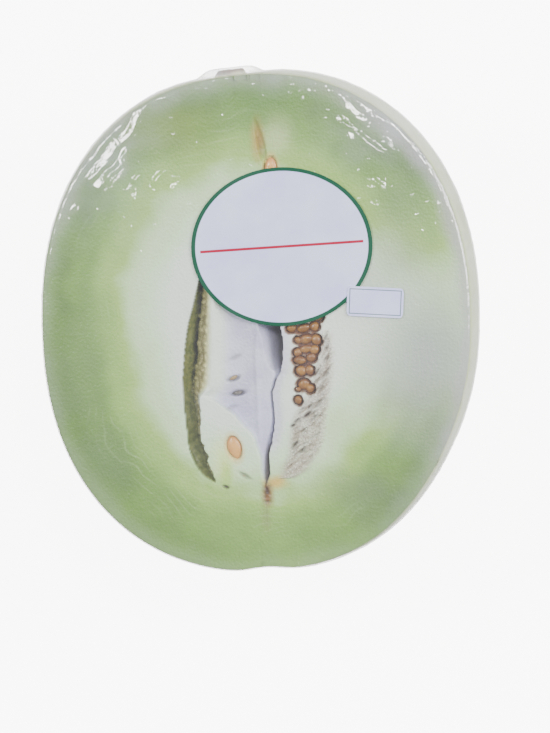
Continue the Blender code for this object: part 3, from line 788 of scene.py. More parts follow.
def relief(x, y):
    """Heights under the cut face in mm, and the masks that the flesh material reads."""
    masks = {}
    height = gap_relief(x, y, masks)
    height = lobe_relief(x, y, height, masks)
    height = seed_relief(x, y, height, masks)

    lone_reach = reach_of_seeds(x, y, POCKETS) + 0.03 * noise(x, y, 1.5, 35)
    height -= POCKET_DEPTH * smooth(1.14, 0.98, lone_reach)
    masks["warm"] = smooth(1.7, 1.0, lone_reach)

    scar = bell((x - 1.5) / 1.4, 1) * smooth(-70, -66.5, y) * smooth(-59.5, -62, y)
    height -= scar * (0.5 + 0.55 * noise(x, y, 0.9, 32))
    masks["scar"] = scar
    slit_x = read_line(STEM_SLIT, y, 1, outside=99)
    slit_half = read_line(STEM_SLIT, y, 2, outside=0)
    height -= read_line(STEM_SLIT, y, 3, outside=0) * slit_share(x, slit_x, slit_half, 0.8)
    height += 0.06 * noise(x, y, 4.5, 33) + 0.03 * noise(x, y, 1.2, 34)
    return height, masks


GRID_STEP = 0.34
columns = np.concatenate((np.linspace(-35, -31.2, 5), np.arange(-30.8, 29.5, GRID_STEP),
                          np.linspace(30, 34, 5)))
rows = np.concatenate((np.linspace(-74, -71, 3), np.arange(-70.4, 26, GRID_STEP),
                       np.linspace(26.8, 84, 62)))
bpy.ops.mesh.primitive_grid_add(x_subdivisions=len(columns) - 1, y_subdivisions=len(rows) - 1,
                                size=1)
middle = bpy.context.object
unit = places_of(middle)
x = columns[np.rint((unit[:, 0] + 0.5) * (len(columns) - 1)).astype(int)]
y = rows[np.rint((unit[:, 1] + 0.5) * (len(rows) - 1)).astype(int)]
height, masks = relief(x, y)
inner = np.minimum.reduce((x - columns[0], columns[-1] - x, y - rows[0], rows[-1] - y))
height *= smooth(0, 2.5, inner)
height = np.minimum(height, 0)
move_to(middle, np.stack((x, y, CUT + height), 1))
for name, values in masks.items():
    paint(middle, name, values)
print("relief:", len(columns), "x", len(rows), "points, deepest", round(height.min(), 1), "mm")

# %% [markdown]
# Rind and relief become one closed mesh: the two are joined, and the flat ring between the rim
# and the grid is filled with triangles. It is dead level, so triangles do no harm there.

# %% One closed melon
only(melon)
middle.select_set(True)
bpy.ops.object.join()
bpy.ops.object.mode_set(mode="EDIT")
bpy.ops.mesh.select_mode(type="EDGE")
bpy.ops.mesh.select_all(action="DESELECT")
bpy.ops.mesh.select_non_manifold(extend=False, use_wire=False, use_boundary=True,
                                 use_multi_face=False, use_non_contiguous=False, use_verts=False)
bpy.ops.mesh.fill(use_beauty=True)
bpy.ops.object.mode_set(mode="OBJECT")
face_outward(melon)
bpy.ops.object.shade_smooth_by_angle(angle=math.radians(50))
print("melon:", len(melon.data.polygons), "faces")

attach(melon, "root")
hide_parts("melon_half")

# %% [markdown]
# ## Flesh
# Honeydew flesh is green under the rind and fades to white round the seeds. The green isn't even:
# strong on the left, nearly gone on the right cheek, yellower near the stem end. So the colour
# comes from two readings of the place: how far out it lies towards the rim, and at which turn.
# Their product runs through a ramp of greens. Soft patches, the masks of the relief and faint
# pale veins along the rim are laid over it. Part of this is painted light and shade: a grey
# band at the rim for the film's sheen and the rind's shade, a grey patch on the right cheek, and
# the darker tones that the relief's masks lay in the hollows, the gap, the seed bed and the
# sockets. Light goes a little way into wet flesh, so the shader scatters some under the surface.

# %% Flesh material
RIM_HALF = (81.4, 95.5)
RING_BY_SHARE = [(0.0, 0.0), (0.38, 0.03), (0.54, 0.2), (0.68, 0.5), (0.80, 0.86), (0.90, 1.0),
                 (1.0, 0.85)]
RING_BY_TURN = [(0.0, 0.96), (0.10, 1.0), (0.19, 0.86), (0.25, 0.68), (0.31, 0.8), (0.355, 0.98),
                (0.41, 0.72), (0.46, 0.26), (0.52, 0.2), (0.57, 0.5), (0.62, 0.98),
                (0.69, 0.9), (0.76, 0.95), (0.84, 1.0), (0.92, 0.9), (1.0, 0.96)]
# How strong the painted grey band of film sheen and rim shade is, by turn round the face.
RIM_SHEEN_AND_SHADE_BY_TURN = [(0.0, 0.12), (0.2, 0.1), (0.32, 0.1), (0.42, 0.6), (0.6, 0.7), (0.75, 0.35),
               (0.88, 0.5), (0.96, 0.2), (1.0, 0.12)]
BEAD_HEIGHT = 6.0
VEIN_COUNT, VEIN_WANDER, VEIN_SHARPNESS = 95.0, 26.0, 26.0
GREENS = [(0.0, colour(226, 235, 226)), (0.16, colour(202, 230, 184)),
          (0.42, colour(150, 188, 90)), (0.7, colour(116, 157, 62)), (0.88, colour(98, 137, 46)),
          (1.0, colour(86, 122, 38))]
PATCH_DEPTH = 40
FLESH_PATCHES = [
    # middle, size, colour, strength, raggedness
    ((-28, 74), (28, 16), colour(112, 142, 32), 0.85, 0.5),
    ((8, 84), (26, 10), colour(92, 136, 44), 0.75, 0.5),
    # Painted shade: a grey patch that darkens the right cheek.
    ((64, -14), (34, 46), colour(158, 162, 164), 0.85, 0.6),
    ((46, 16), (26, 24), colour(172, 184, 172), 0.5, 0.6),
    ((60, 40), (24, 26), colour(120, 146, 98), 0.4, 0.8),
    ((-64, -8), (15, 32), colour(104, 138, 68), 0.6, 1.2),
    ((-58, -48), (16, 20), colour(98, 130, 66), 0.6, 1.2),
    ((42, -64), (26, 14), colour(104, 128, 80), 0.7, 1.2),
    ((66, -46), (12, 14), colour(116, 138, 96), 0.5, 1.0),
    ((12, 70), (9, 12), colour(206, 220, 160), 0.5, 0.6),
    ((-13.9, -55.6), (3.8, 9.0), colour(126, 182, 6), 1.0, 0.5),
    ((-14, -50), (8, 14), colour(222, 238, 150), 0.7, 0.5),
    ((12, -54.5), (8, 4.2), colour(146, 150, 100), 0.8, 0.9),
    ((0.6, -73.5), (3.2, 8.5), colour(126, 146, 70), 0.8, 0.6),
    ((4.8, -60.2), (7.0, 4.4), colour(210, 168, 60), 0.9, 0.8),
    ((1.8, -64), (3.6, 7.0), colour(160, 106, 16), 0.95, 0.6),
    ((5.2, 69), (4.0, 12), colour(176, 136, 46), 0.8, 0.7),
]


def ring_share(tree, place):
    """How far out a place lies, 1 at the rim, and its turn from 0 to 1 round the face."""
    wobble = drift(tree, place, 0.035, 3.0)
    parts = put(tree, "ShaderNodeSeparateXYZ", Vector=place)
    shares = []
    for part, half in zip(parts.outputs, RIM_HALF):
        size = reckon(tree, "DIVIDE", reckon(tree, "ABSOLUTE", part), half)
        shares.append(reckon(tree, "POWER", size, OUTLINE_POWER))
    share = reckon(tree, "POWER", reckon(tree, "ADD", *shares), 1 / OUTLINE_POWER)
    ragged_share = reckon(tree, "ADD", share, reckon(tree, "MULTIPLY_ADD", wobble, 0.16, -0.08))
    turn = reckon(tree, "ARCTAN2", parts.outputs[1], parts.outputs[0])
    return share, ragged_share, reckon(tree, "MULTIPLY_ADD", turn, 0.5 / math.pi, 0.5)


def mask_of(tree, name):
    return put(tree, "ShaderNodeAttribute", {"attribute_name": name}).outputs["Fac"]


flesh, tree, shader, place = new_material("melon_flesh_cut")
share, ragged_share, turn = ring_share(tree, place)
grain_height, clouds = grain(tree, place, 0.9, 0.07)
ring = times(tree, ramp(tree, ragged_share, RING_BY_SHARE), ramp(tree, turn, RING_BY_TURN))
cloudy = reckon(tree, "MULTIPLY_ADD", clouds, 0.5, -0.25)
ring = reckon(tree, "ADD", ring, times(tree, cloudy, ring), clamp=True)
shade = ramp(tree, ring, GREENS, smooth=False)
for middle_point, size, tone, strength, ragged in FLESH_PATCHES:
    mask = patch(tree, place, (*middle_point, CUT), (*size, PATCH_DEPTH), ragged,
                 1.2 / max(size))
    shade = mix(tree, times(tree, mask, strength), shade, tone)

vein_phase = reckon(tree, "MULTIPLY_ADD", share, VEIN_COUNT,
                    times(tree, drift(tree, place, 0.03), VEIN_WANDER))
vein = reckon(tree, "ABSOLUTE", reckon(tree, "SINE", vein_phase))
vein = reckon(tree, "POWER", vein, VEIN_SHARPNESS)
vein = times(tree, vein, fade(tree, drift(tree, place, 0.055, 1.0), 0.52, 0.62))
vein = times(tree, vein, ramp(tree, share, [(0.5, 0.0), (0.75, 0.2), (0.95, 0.0)]))
shade = mix(tree, vein, shade, colour(190, 214, 160))
# Painted sheen and shade: a grey band along the rim, strongest on the right and at the top.
rim = times(tree, fade(tree, ragged_share, 0.92, 1.0, soft=True), ramp(tree, turn, RIM_SHEEN_AND_SHADE_BY_TURN))
shade = mix(tree, rim, shade, colour(166, 162, 164))


def lay_over(under, mask_name, tone, strength=1.0):
    """A colour over the flesh where one of the relief's masks is."""
    return mix(tree, times(tree, mask_of(tree, mask_name), strength, clamp=True), under, tone)


mottle = drift(tree, place, 0.5, 3.0)
# Painted shade: lavender on the strip beside the cleft and on the sunken lobe.
shade = lay_over(shade, "strip", colour(206, 200, 226), 0.7)
lobe_shade_lavender = ramp(tree, clouds, [(0.35, colour(184, 182, 214)), (0.65, colour(206, 206, 230))])
shade = lay_over(shade, "lobe", lobe_shade_lavender, 0.95)
shade = lay_over(shade, "cream", colour(236, 236, 172))
# Painted shade: dark grey in the hollow, and brown, partly its tissue, in its slot.
shade = lay_over(shade, "hollow", colour(104, 99, 110))
shade = lay_over(shade, "slot_tint_and_shade", colour(104, 92, 74), 0.9)
# Painted shade in the gap: the knobs' mottle darkened, dark olive by depth, the crevice's line.
knob_tone_and_shade = ramp(tree, mottle, [(0.35, colour(112, 104, 56)), (0.62, colour(164, 158, 104))])
shade = lay_over(shade, "knobs", knob_tone_and_shade, 0.95)
gap_shade_tone = ramp(tree, mottle, [(0.3, colour(72, 82, 24)), (0.7, colour(110, 114, 54))])
shade = lay_over(shade, "gap", gap_shade_tone)
shade = lay_over(shade, "crevice", colour(44, 50, 24), 0.95)
shade = lay_over(shade, "fibres", colour(208, 200, 186), 0.7)
shade = lay_over(shade, "strands", colour(146, 124, 96), 0.55)
# Brown round the seeds: the bed's own colour and painted shade.
shade = lay_over(shade, "bed", colour(142, 98, 68))
# Sockets: brown tissue and painted shade in the pits.
shade = lay_over(shade, "socket_tint_and_shade", colour(64, 50, 44))
shade = lay_over(shade, "warm", colour(222, 186, 110), 0.6)
scar_tone = ramp(tree, mottle, [(0.42, colour(62, 32, 2)), (0.6, colour(120, 78, 4))])
shade = lay_over(shade, "scar", scar_tone)
feed(tree, shader.inputs["Base Color"], shade)
fibres = mask_of(tree, "fibres")
wet = ramp(tree, clouds, [(0.3, 0.32), (0.7, 0.5)])
wet = mix(tree, fibres, wet, (0.14, 0.14, 0.14, 1))
feed(tree, shader.inputs["Roughness"], wet)
beads = times(tree, drift(tree, place, 1.1), fibres)
wet_height = reckon(tree, "MULTIPLY_ADD", beads, BEAD_HEIGHT, grain_height)
feed(tree, shader.inputs["Normal"], bump(tree, wet_height, 0.35, 0.6))
shader.inputs["Subsurface Weight"].default_value = 0.12
shader.inputs["Subsurface Radius"].default_value = (1.0, 1.0, 0.7)
shader.inputs["Subsurface Scale"].default_value = 1.6 * MM

# %% [markdown]
# ## Skin
# A honeydew's skin is smooth, waxy and pale: cream to light green, with slow clouds, faint
# freckles and a trace of netting towards the stem end. The scar is dull brown cork.

# %% Skin material
rind, tree, shader, place = new_material("melon_skin")
grain_height, clouds = grain(tree, place, 0.35, 0.035)
shade = ramp(tree, clouds, [(0.34, colour(160, 184, 104)), (0.5, colour(188, 204, 140)),
                            (0.66, colour(206, 214, 170))])
freckle = put(tree, "ShaderNodeTexVoronoi", Vector=place, Scale=0.28)
dots = ramp(tree, freckle.outputs["Distance"], [(0.05, 1.0), (0.16, 0.0)])
shade = mix(tree, times(tree, dots, 0.25), shade, colour(150, 160, 104))
net_shift = put(tree, "ShaderNodeTexNoise", Vector=place, Scale=0.08, Detail=3.0)
net_place = put(tree, "ShaderNodeVectorMath", {"operation": "MULTIPLY_ADD"}, Vector=place)
net_place.inputs[1].default_value = (1, 0.55, 1)
tree.links.new(net_shift.outputs["Color"], net_place.inputs[2])
net = put(tree, "ShaderNodeTexVoronoi", {"feature": "DISTANCE_TO_EDGE"},
          Vector=net_place.outputs[0], Scale=0.11)
net_line = ramp(tree, net.outputs["Distance"], [(0.0, 1.0), (0.05, 0.0)])
shade = mix(tree, times(tree, net_line, 0.18), shade, colour(232, 226, 200))
stem_place = tuple(STEM_AXIS * (HALF_LENGTH + 1) + np.array((0, 0, FRUIT_HEIGHT)))
halo = patch(tree, place, stem_place, (20, 16, 20), 0.4, 0.15)
shade = mix(tree, times(tree, halo, 0.5), shade, colour(184, 160, 104))
cork = patch(tree, place, stem_place, (8.6, 7, 8.6), 0.25, 0.6)
cork_mask = ramp(tree, cork, [(0.12, 0.0), (0.3, 1.0)])
cork_tone = ramp(tree, clouds, [(0.4, colour(62, 44, 34)), (0.6, colour(112, 84, 62))])
shade = mix(tree, cork_mask, shade, cork_tone)
feed(tree, shader.inputs["Base Color"], shade)
feed(tree, shader.inputs["Roughness"], ramp(tree, cork_mask, [(0.0, 0.36), (1.0, 0.85)], False))
feed(tree, shader.inputs["Normal"], bump(tree, grain_height, 0.25, 0.4))

INSIDE_HALF = (78, 92)
BELOW_HOLLOWS = 30
melon.data.materials.clear()
melon.data.materials.append(rind)
melon.data.materials.append(flesh)
centres, normals = np.empty((2, len(melon.data.polygons) * 3))
melon.data.polygons.foreach_get("center", centres)
melon.data.polygons.foreach_get("normal", normals)
centres, normals = centres.reshape(-1, 3) / MM, normals.reshape(-1, 3)
inside_rim = np.hypot(centres[:, 0] / INSIDE_HALF[0], centres[:, 1] / INSIDE_HALF[1]) < 1
cut_face = (centres[:, 2] > CUT - BELOW_HOLLOWS) & inside_rim
cut_face |= (centres[:, 2] > CUT - 0.3) & (normals[:, 2] > 0.35)
melon.data.polygons.foreach_set("material_index", cut_face.astype(np.int32))
melon.data.update()
print("flesh faces:", int(cut_face.sum()), "skin faces:", int((~cut_face).sum()))

# %% [markdown]
# ## Seeds
# Ripe seeds are amber, flat and pointed at one end. In the open row they stand packed in a wet
# brown gel, so only their round tips show. One seed is shaped from a sphere, and copies of it are
# placed, turned and sized one by one. The visible ones have their own places; those under the
# label follow the row.

# %% Seed shapes
def seed_shape(name, places_list, segments=18, rings=12):
    """A piece of many seeds: x, y, z of the middle, length, width, thickness, turn, tilt."""
    seeds = []
    for x_mid, y_mid, z_mid, length, width, thick, turn_z, tilt in places_list:
        bpy.ops.mesh.primitive_uv_sphere_add(segments=segments, ring_count=rings, radius=1)
        seed = bpy.context.object
        shape = places_of(seed)[:, (0, 2, 1)] * (1, 1, -1)
        taper = 1 - 0.34 * np.clip(-shape[:, 1], 0, 1) ** 1.6
        rim = 1 - 0.12 * smooth(0.55, 0.0, np.hypot(shape[:, 0], shape[:, 1]))
        shape = shape * np.stack((width / 2 * taper, np.full(len(shape), length / 2),
                                  thick / 2 * rim * taper), 1)
        spin = Matrix.Rotation(turn_z, 3, "Z") @ Matrix.Rotation(tilt, 3, "X")
        sideways = np.hypot(places_of(seed)[:, 0], places_of(seed)[:, 2])
        # The darker edge is the hull's colour and painted shade where the seed turns down.
        paint(seed, "hull_and_shade", smooth(0.72, 0.99, sideways))
        move_to(seed, shape @ np.array(spin).T + (x_mid, y_mid, z_mid))
        seeds.append(seed)
    only(seeds[0])
    for seed in seeds:
        seed.select_set(True)
    if len(seeds) > 1:
        bpy.ops.object.join()
    piece = bpy.context.object
    piece.name = name
    bpy.ops.object.shade_smooth()
    return piece


BED_MIDDLE = [(-31.2, 15.0), (-29, 15.2), (-25, 17.4), (-18, 18.4), (-10, 18.9), (-2, 18.8)]
BED_MIDDLE += [(y, x) for y, x in ROW_MIDDLE[1:]]
BED_HALF = [(-31.2, 0.4), (-29, 1.5), (-25, 3.9), (-18, 3.9), (-10, 5.2), (-2, 6.6), (10, 7.2),
            (24, 6.6), (38, 5.2), (47, 3.2), (50, 1.2)]
GEL_DEPTH, GEL_FOOT = 2.3, 3.6
bpy.ops.mesh.primitive_uv_sphere_add(segments=36, ring_count=120, radius=1)
gel = bpy.context.object
ball = places_of(gel)
y = BED_MIDDLE[0][0] + (ball[:, 2] + 1) / 2 * (BED_MIDDLE[-1][0] - BED_MIDDLE[0][0])
half = read_line(BED_HALF, y)
girth = np.maximum(np.hypot(ball[:, 0], ball[:, 1]), 1e-9)
across = ball[:, 0] / girth
x = read_line(BED_MIDDLE, y) + half * np.sign(across) * np.abs(across) ** 0.6
gel_foot = CUT - GEL_FOOT
gel_top = CUT - GEL_DEPTH + 0.3 * noise(x, y, 1.3, 41) + 0.15 * noise(x, y, 0.7, 42)
up_share = ball[:, 1] / girth
z = np.where(up_share > 0, gel_foot + (gel_top - gel_foot) * np.abs(up_share) ** 0.35,
             gel_foot - 0.8 * np.abs(up_share) ** 0.6)
move_to(gel, np.stack((x, y, z), 1))
face_outward(gel)
bpy.ops.object.shade_smooth()
seed_row = seed_shape("seeds_in_row", ROW)
print("row:", len(seed_row.data.polygons), "faces")

LONE_SEEDS = {
    # x, y, length, width, thickness, turn in degrees
    "seed_left": (-10.1, -46.4, 8.8, 5.3, 2.4, 14),
    "seed_top": (9.3, 57.9, 9.4, 4.8, 2.4, -4),
    "seed_edge_upper": (-9.2, -19.8, 3.6, 1.5, 2.0, -66),
    "seed_edge_middle": (-8.0, -25.6, 4.2, 1.8, 2.0, -80),
    "seed_edge_lower": (-7.4, -57.7, 4.6, 1.6, 2.0, 62),
}
lone = {}
for name, (x_mid, y_mid, length, width, thick, turn_z) in LONE_SEEDS.items():
    top = CUT + 0.12 if name in ("seed_left", "seed_top") else CUT - 0.7
    lone[name] = seed_shape("lone_" + name, [(x_mid, y_mid, top - thick / 2, length, width, thick,
                                              math.radians(turn_z), 0.0)], 32, 24)

# %% [markdown]
# Seeds are wet, so each has a clear coat over a warm body. The colour changes from seed to seed
# by slow noise, and is darker round the rim: partly the thick hull, partly painted shade where
# the seed turns down into its pocket.

# %% Seed materials
def seed_material(name, pale, deep, rim, coat):
    material, tree, shader, place = new_material(name)
    streak = drift(tree, place, 1.6, 3.0)
    shade = ramp(tree, drift(tree, place, 0.33), [(0.38, deep), (0.6, pale)])
    shade = mix(tree, times(tree, streak, 0.25), shade, rim)
    shade = mix(tree, mask_of(tree, "hull_and_shade"), shade, rim)
    feed(tree, shader.inputs["Base Color"], shade)
    feed(tree, shader.inputs["Roughness"], ramp(tree, streak, [(0.3, 0.22), (0.7, 0.4)]))
    feed(tree, shader.inputs["Normal"], bump(tree, streak, 0.2, 0.6))
    shader.inputs["Coat Weight"].default_value = coat
    shader.inputs["Coat Roughness"].default_value = 0.08
    return material


amber = seed_material("seed_amber", colour(160, 112, 38), colour(128, 84, 30),
                      colour(108, 66, 30), 0.3)
peach = seed_material("seed_peach", colour(228, 172, 90), colour(216, 158, 80),
                      colour(192, 136, 72), 0.2)
husk_tan = seed_material("seed_husk_tan", colour(172, 146, 96), colour(148, 124, 82),
                         colour(104, 92, 80), 0.2)
husk_grey = seed_material("seed_husk_grey", colour(112, 104, 100), colour(92, 86, 84),
                          colour(72, 68, 70), 0.2)
# The gel's dark brown is its own colour and painted shade between the seeds.
gel_brown_and_shade = seed_material("seed_gel", colour(106, 62, 38), colour(74, 38, 24),
                          colour(120, 80, 56), 0.5)
seed_row.data.materials.append(amber)
gel.data.materials.append(gel_brown_and_shade)
looks = {"seed_edge_middle": husk_grey, "seed_edge_upper": husk_tan, "seed_edge_lower": husk_tan}
for name, piece in lone.items():
    piece.data.materials.append(looks.get(name, peach))

only(seed_row)
gel.select_set(True)
bpy.ops.object.join()
for piece, node in [(seed_row, "seed_row")] + [(lone[name], name) for name in lone]:
    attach(piece, "root")
    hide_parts(node)

# %% [markdown]
# ## Film
# Cling film is drawn flat over the cut face, turns sharply at the rim and clings to the skin on
# its way down, where it is gathered. It bunches at the two upper shoulders, and there the lamps
# show. The film is a ring mesh: rings on the face grow to the rim's outline, then follow the skin
# down. Its folds are real relief: small plates at the shoulders each face a lamp, so that they
# mirror it. How hazy the film is goes into an attribute. It gets a thin wall at the end.

# %% Film
FILM_AROUND = 400
FACE_SHARES = np.concatenate((np.linspace(0.0, 0.6, 10)[1:], np.linspace(0.6, 0.985, 62)[1:]))
FILM_LIFT, FILM_WALL = 0.35, 0.05
SIDE_STEPS = 38
FILM_FOOT = 3.0
TENT_ROOM, TENT_EDGE, TENT_TOP = 0.3, 14, 7


def way_of(turns, tilt):
    """Unit directions from the fruit's middle, by turn round it and tilt above level."""
    return np.stack((np.cos(tilt) * np.cos(turns), np.cos(tilt) * np.sin(turns), np.sin(tilt)), 1)


def rim_ways(turns):
    """The tilt at which the cut's rim lies, at each turn."""
    tilt = np.full_like(turns, 0.2)
    for _ in range(12):
        radius = fruit_radius(way_of(turns, tilt))
        tilt = np.arcsin(np.clip((CUT - FRUIT_HEIGHT) / radius, -1, 1))
    return tilt


def skin_points(turns, tilt):
    """Directions and distances of the skin, with the tent of film over the stem scar."""
    way = way_of(turns, tilt)
    aside = angle_to(way, STEM_AXIS) * HALF_LENGTH
    tent = (SCAR_PROUD + TENT_ROOM) * smooth(TENT_EDGE, TENT_TOP, aside)
    return way, fruit_radius(way) + tent


LEFT_PLATES = [
    # middle x, y, half width, half length, turn in degrees
    (-52, 64, 6.0, 10.5, -12), (-47, 78, 1.9, 9.0, -14), (-46.5, 68, 2.2, 5.5, -8),
    (-59.5, 68, 3.0, 4.5, -30), (-38, 84, 1.6, 5.0, -30), (-43, 75, 1.7, 4.0, -25),
    (-32.5, 91, 1.6, 5.0, -22), (-42, 53.5, 1.8, 4.5, -10), (-60, 55, 1.6, 3.0, -20),
    (-66, 46, 1.2, 2.2, 0), (-33, 57, 0.9, 3.0, -40), (-27, 55, 1.0, 2.2, 0),
    (-27, 86, 1.0, 2.4, 40), (-16, 89, 1.3, 0.9, 0), (-8, 88, 0.9, 0.7, 0)]
RIGHT_PLATES = [(44, 80, 4.8, 6.2, 35), (48, 86, 3.4, 2.2, 20), (38.5, 73, 1.4, 5.4, 15),
                (46, 66, 2.0, 5.0, 42), (52, 64.5, 3.2, 1.8, 15), (52, 74, 1.6, 2.6, -30),
                (35, 87, 1.1, 5.6, 20), (58, 76, 1.8, 1.4, 0), (49, 50, 2.2, 1.4, 0),
                (47, 43, 1.6, 1.2, 0), (25, 84, 0.9, 2.2, 10), (71, 40, 1.2, 2.4, 30)]
LEFT_WAY, RIGHT_WAY = (-0.69, 0.73), (0.71, 0.70)
CRUMPLES = [(-50, 66, 17, 24), (47, 72, 15, 15)]
HIGHEST_FOLD = 1.6
PLATE_SLOPE, PLATE_PITCH, PLATE_SHARE = 0.30, 4.6, 0.84


def plates(x, y, places_list, way, seed):
    """Terraces whose long sides all face one lamp, inside ragged patches."""
    mask = np.zeros_like(x)
    wobble_x, wobble_y = 1.3 * noise(x, y, 3.1, seed), 1.3 * noise(x, y, 2.7, seed + 1)
    for x_mid, y_mid, half_x, half_y, turn in places_list:
        c, s = math.cos(math.radians(turn)), math.sin(math.radians(turn))
        dx, dy = x + wobble_x - x_mid, y + wobble_y - y_mid
        reach = np.hypot((dx * c + dy * s) / half_x, (dy * c - dx * s) / half_y)
        mask = np.maximum(mask, smooth(1.35, 0.95, reach))
    phase = (x * way[0] + y * way[1] + 1.6 * noise(x, y, 7, seed + 2)) / PLATE_PITCH
    part = phase - np.floor(phase)
    saw = np.where(part < PLATE_SHARE, 1 - part / PLATE_SHARE,
                   (part - PLATE_SHARE) / (1 - PLATE_SHARE))
    return mask * saw * PLATE_SLOPE * PLATE_PITCH * PLATE_SHARE


def face_folds(x, y, share):
    """Heights of the folds on the flat part of the film, in mm, and how hazy it is there."""
    angle = np.degrees(np.arctan2(y, x))
    left = plates(x, y, LEFT_PLATES, LEFT_WAY, 81)
    right = plates(x, y, RIGHT_PLATES, RIGHT_WAY, 91)
    rays = 1 - np.abs(noise(angle, share * 9, 2.4, 53))
    crumple = sum(bell(np.hypot((x - x_mid) / half_x, (y - y_mid) / half_y), 1)
                  for x_mid, y_mid, half_x, half_y in CRUMPLES)
    ridged = 1 - np.abs(noise(x, y, 3.4, 51))
    rim_rays = smooth(0.88, 0.985, share) * (0.3 + 0.7 * smooth(-0.2, 0.5, y / 95))
    folds = left + right + 0.3 * crumple * ridged ** 2
    folds += 0.35 * rim_rays * rays ** 2
    folds += 0.10 * (1 + noise(x, y, 11, 54)) + 0.05 * smooth(0.2, 0.9, noise(x, y, 3.1, 55))
    under_label = smooth(1.12, 1.0, np.hypot((x - 12) / 36, (y - 29) / 31.5))
    under_small = smooth(1.6, 1.1, np.maximum(abs(x - 46) / 11.5, abs(y - 6.8) / 6.5))
    folds = folds * (1 - np.maximum(under_label, under_small))
    rim = smooth(0.90, 1.0, share + 0.02 * noise(x, y, 14, 56)) * (
        0.2 + 0.5 * smooth(0, 60, y) + 0.3 * smooth(30, 75, x))
    haze = 0.012 + 0.20 * crumple * (0.7 + 0.3 * noise(x, y, 8, 57)) + 0.16 * rim
    return np.minimum(folds, HIGHEST_FOLD), haze * (1 - under_label)


turns = np.arange(FILM_AROUND) / FILM_AROUND * 2 * np.pi
rim_tilt = rim_ways(turns)
rim_way, rim_radius = skin_points(turns, rim_tilt)
rim_outline = (rim_way * rim_radius[:, None])[:, :2]
film_rings = []
film_haze = [[0.02]]
for share in FACE_SHARES:
    flat = rim_outline * share
    folds, haze = face_folds(flat[:, 0], flat[:, 1], share)
    film_rings.append(np.column_stack((flat, CUT + FILM_LIFT + folds)))
    film_haze.append(haze)
foot_tilt = np.arcsin(np.clip((FILM_FOOT - FRUIT_HEIGHT) / HALF_HEIGHT, -1, 1)) + 0.05
for step in range(SIDE_STEPS + 1):
    t = step / SIDE_STEPS
    tilt = rim_tilt + (foot_tilt - rim_tilt) * (t ** 1.15)
    way, radius = skin_points(turns, tilt)
    angle = np.degrees(turns)
    pleat = 1 - np.abs(noise(angle * 1.0, t * 3, 3.1, 61))
    small = 1 - np.abs(noise(angle + t * 12, t * 7, 1.7, 62))
    depth = 0.25 + 1.3 * smooth(0.25, 1.0, t)
    near_rim = smooth(0, 0.05, t)
    lift = FILM_LIFT + near_rim * depth * (0.6 * pleat ** 3 + 0.3 * small ** 3)
    ring = way * (radius + lift)[:, None] + (0, 0, FRUIT_HEIGHT)
    if step == 0:
        ring[:, 2] = CUT + FILM_LIFT * 0.2
    ring[:, 2] = np.maximum(ring[:, 2], 0.4)
    film_rings.append(ring)
    film_haze.append(0.02 + 0.12 * pleat ** 3 * near_rim + 0.05 * smooth(0.15, 0, t))

film_mesh = bpy.data.meshes.new("cling_film_folded")
points = np.concatenate([[(0, 0, CUT + FILM_LIFT)]] + film_rings)
faces = [(0, 1 + k, 1 + (k + 1) % FILM_AROUND) for k in range(FILM_AROUND)]
for number in range(len(film_rings) - 1):
    start, after = 1 + number * FILM_AROUND, 1 + (number + 1) * FILM_AROUND
    faces += [(start + k, after + k, after + (k + 1) % FILM_AROUND,
               start + (k + 1) % FILM_AROUND) for k in range(FILM_AROUND)]
film_mesh.from_pydata((points * MM).tolist(), [], faces)
film = bpy.data.objects.new("film", film_mesh)
bpy.context.scene.collection.objects.link(film)
paint(film, "haze", np.concatenate(film_haze))
only(film)
bpy.ops.object.shade_smooth()
wall = film.modifiers.new("wall", "SOLIDIFY")
wall.thickness = FILM_WALL * MM
wall.offset = 1
bpy.ops.object.modifier_apply(modifier="wall")
print("film:", len(film.data.polygons), "faces")

# %% [markdown]
# The film's material is clear with a mirror's share that grows at a slant, the usual way of thin
# plastic, and a faint white haze where it is bunched or pleated. Small creases come from noise,
# and round drops under the film from cells. Shadow rays and scattered rays pass straight
# through, because so thin a film takes almost no light.

# %% Film material
MIRROR_STRAIGHT, MIRROR_SLANT = 0.12, 0.7


def blend(tree, share, under, over):
    """Two shaders mixed by a share."""
    node = put(tree, "ShaderNodeMixShader")
    for socket, value in zip(node.inputs, (share, under, over)):
        feed(tree, socket, value)
    return node.outputs[0]


clear, tree, shader, place = new_material("clear_film")
facing = put(tree, "ShaderNodeLayerWeight", Blend=0.5).outputs["Facing"]
slant = reckon(tree, "POWER", facing, 4.0)
mirror_share = reckon(tree, "MULTIPLY_ADD", slant, MIRROR_SLANT, MIRROR_STRAIGHT)
creases = put(tree, "ShaderNodeTexNoise", Vector=place, Scale=0.35, Detail=3.0, Roughness=0.6)
drops = put(tree, "ShaderNodeTexVoronoi", Vector=place, Scale=0.30)
drop_height = ramp(tree, drops.outputs["Distance"], [(0.0, 1.0), (0.27, 0.0)])
some = fade(tree, drops.outputs["Color"], 0.6, 0.65)
upper = fade(tree, put(tree, "ShaderNodeSeparateXYZ", Vector=place).outputs[1], -10.0, 60.0)
drop_height = times(tree, drop_height, times(tree, some, upper))
film_height = reckon(tree, "MULTIPLY_ADD", drop_height, 1.4, creases.outputs[0])
film_normal = bump(tree, film_height, 0.5, 0.5)
mirror = put(tree, "ShaderNodeBsdfGlossy", Roughness=0.09, Normal=film_normal)
mirror.inputs["Color"].default_value = (1, 1, 1, 1)
see = put(tree, "ShaderNodeBsdfTransparent")
see.inputs["Color"].default_value = (1, 1, 1, 1)
feed(tree, shader.inputs["Base Color"], colour(206, 204, 220))
shader.inputs["Roughness"].default_value = 0.5
haze_share = ramp(tree, drift(tree, place, 0.12, 3.0), [(0.35, 0.55), (0.7, 1.0)])
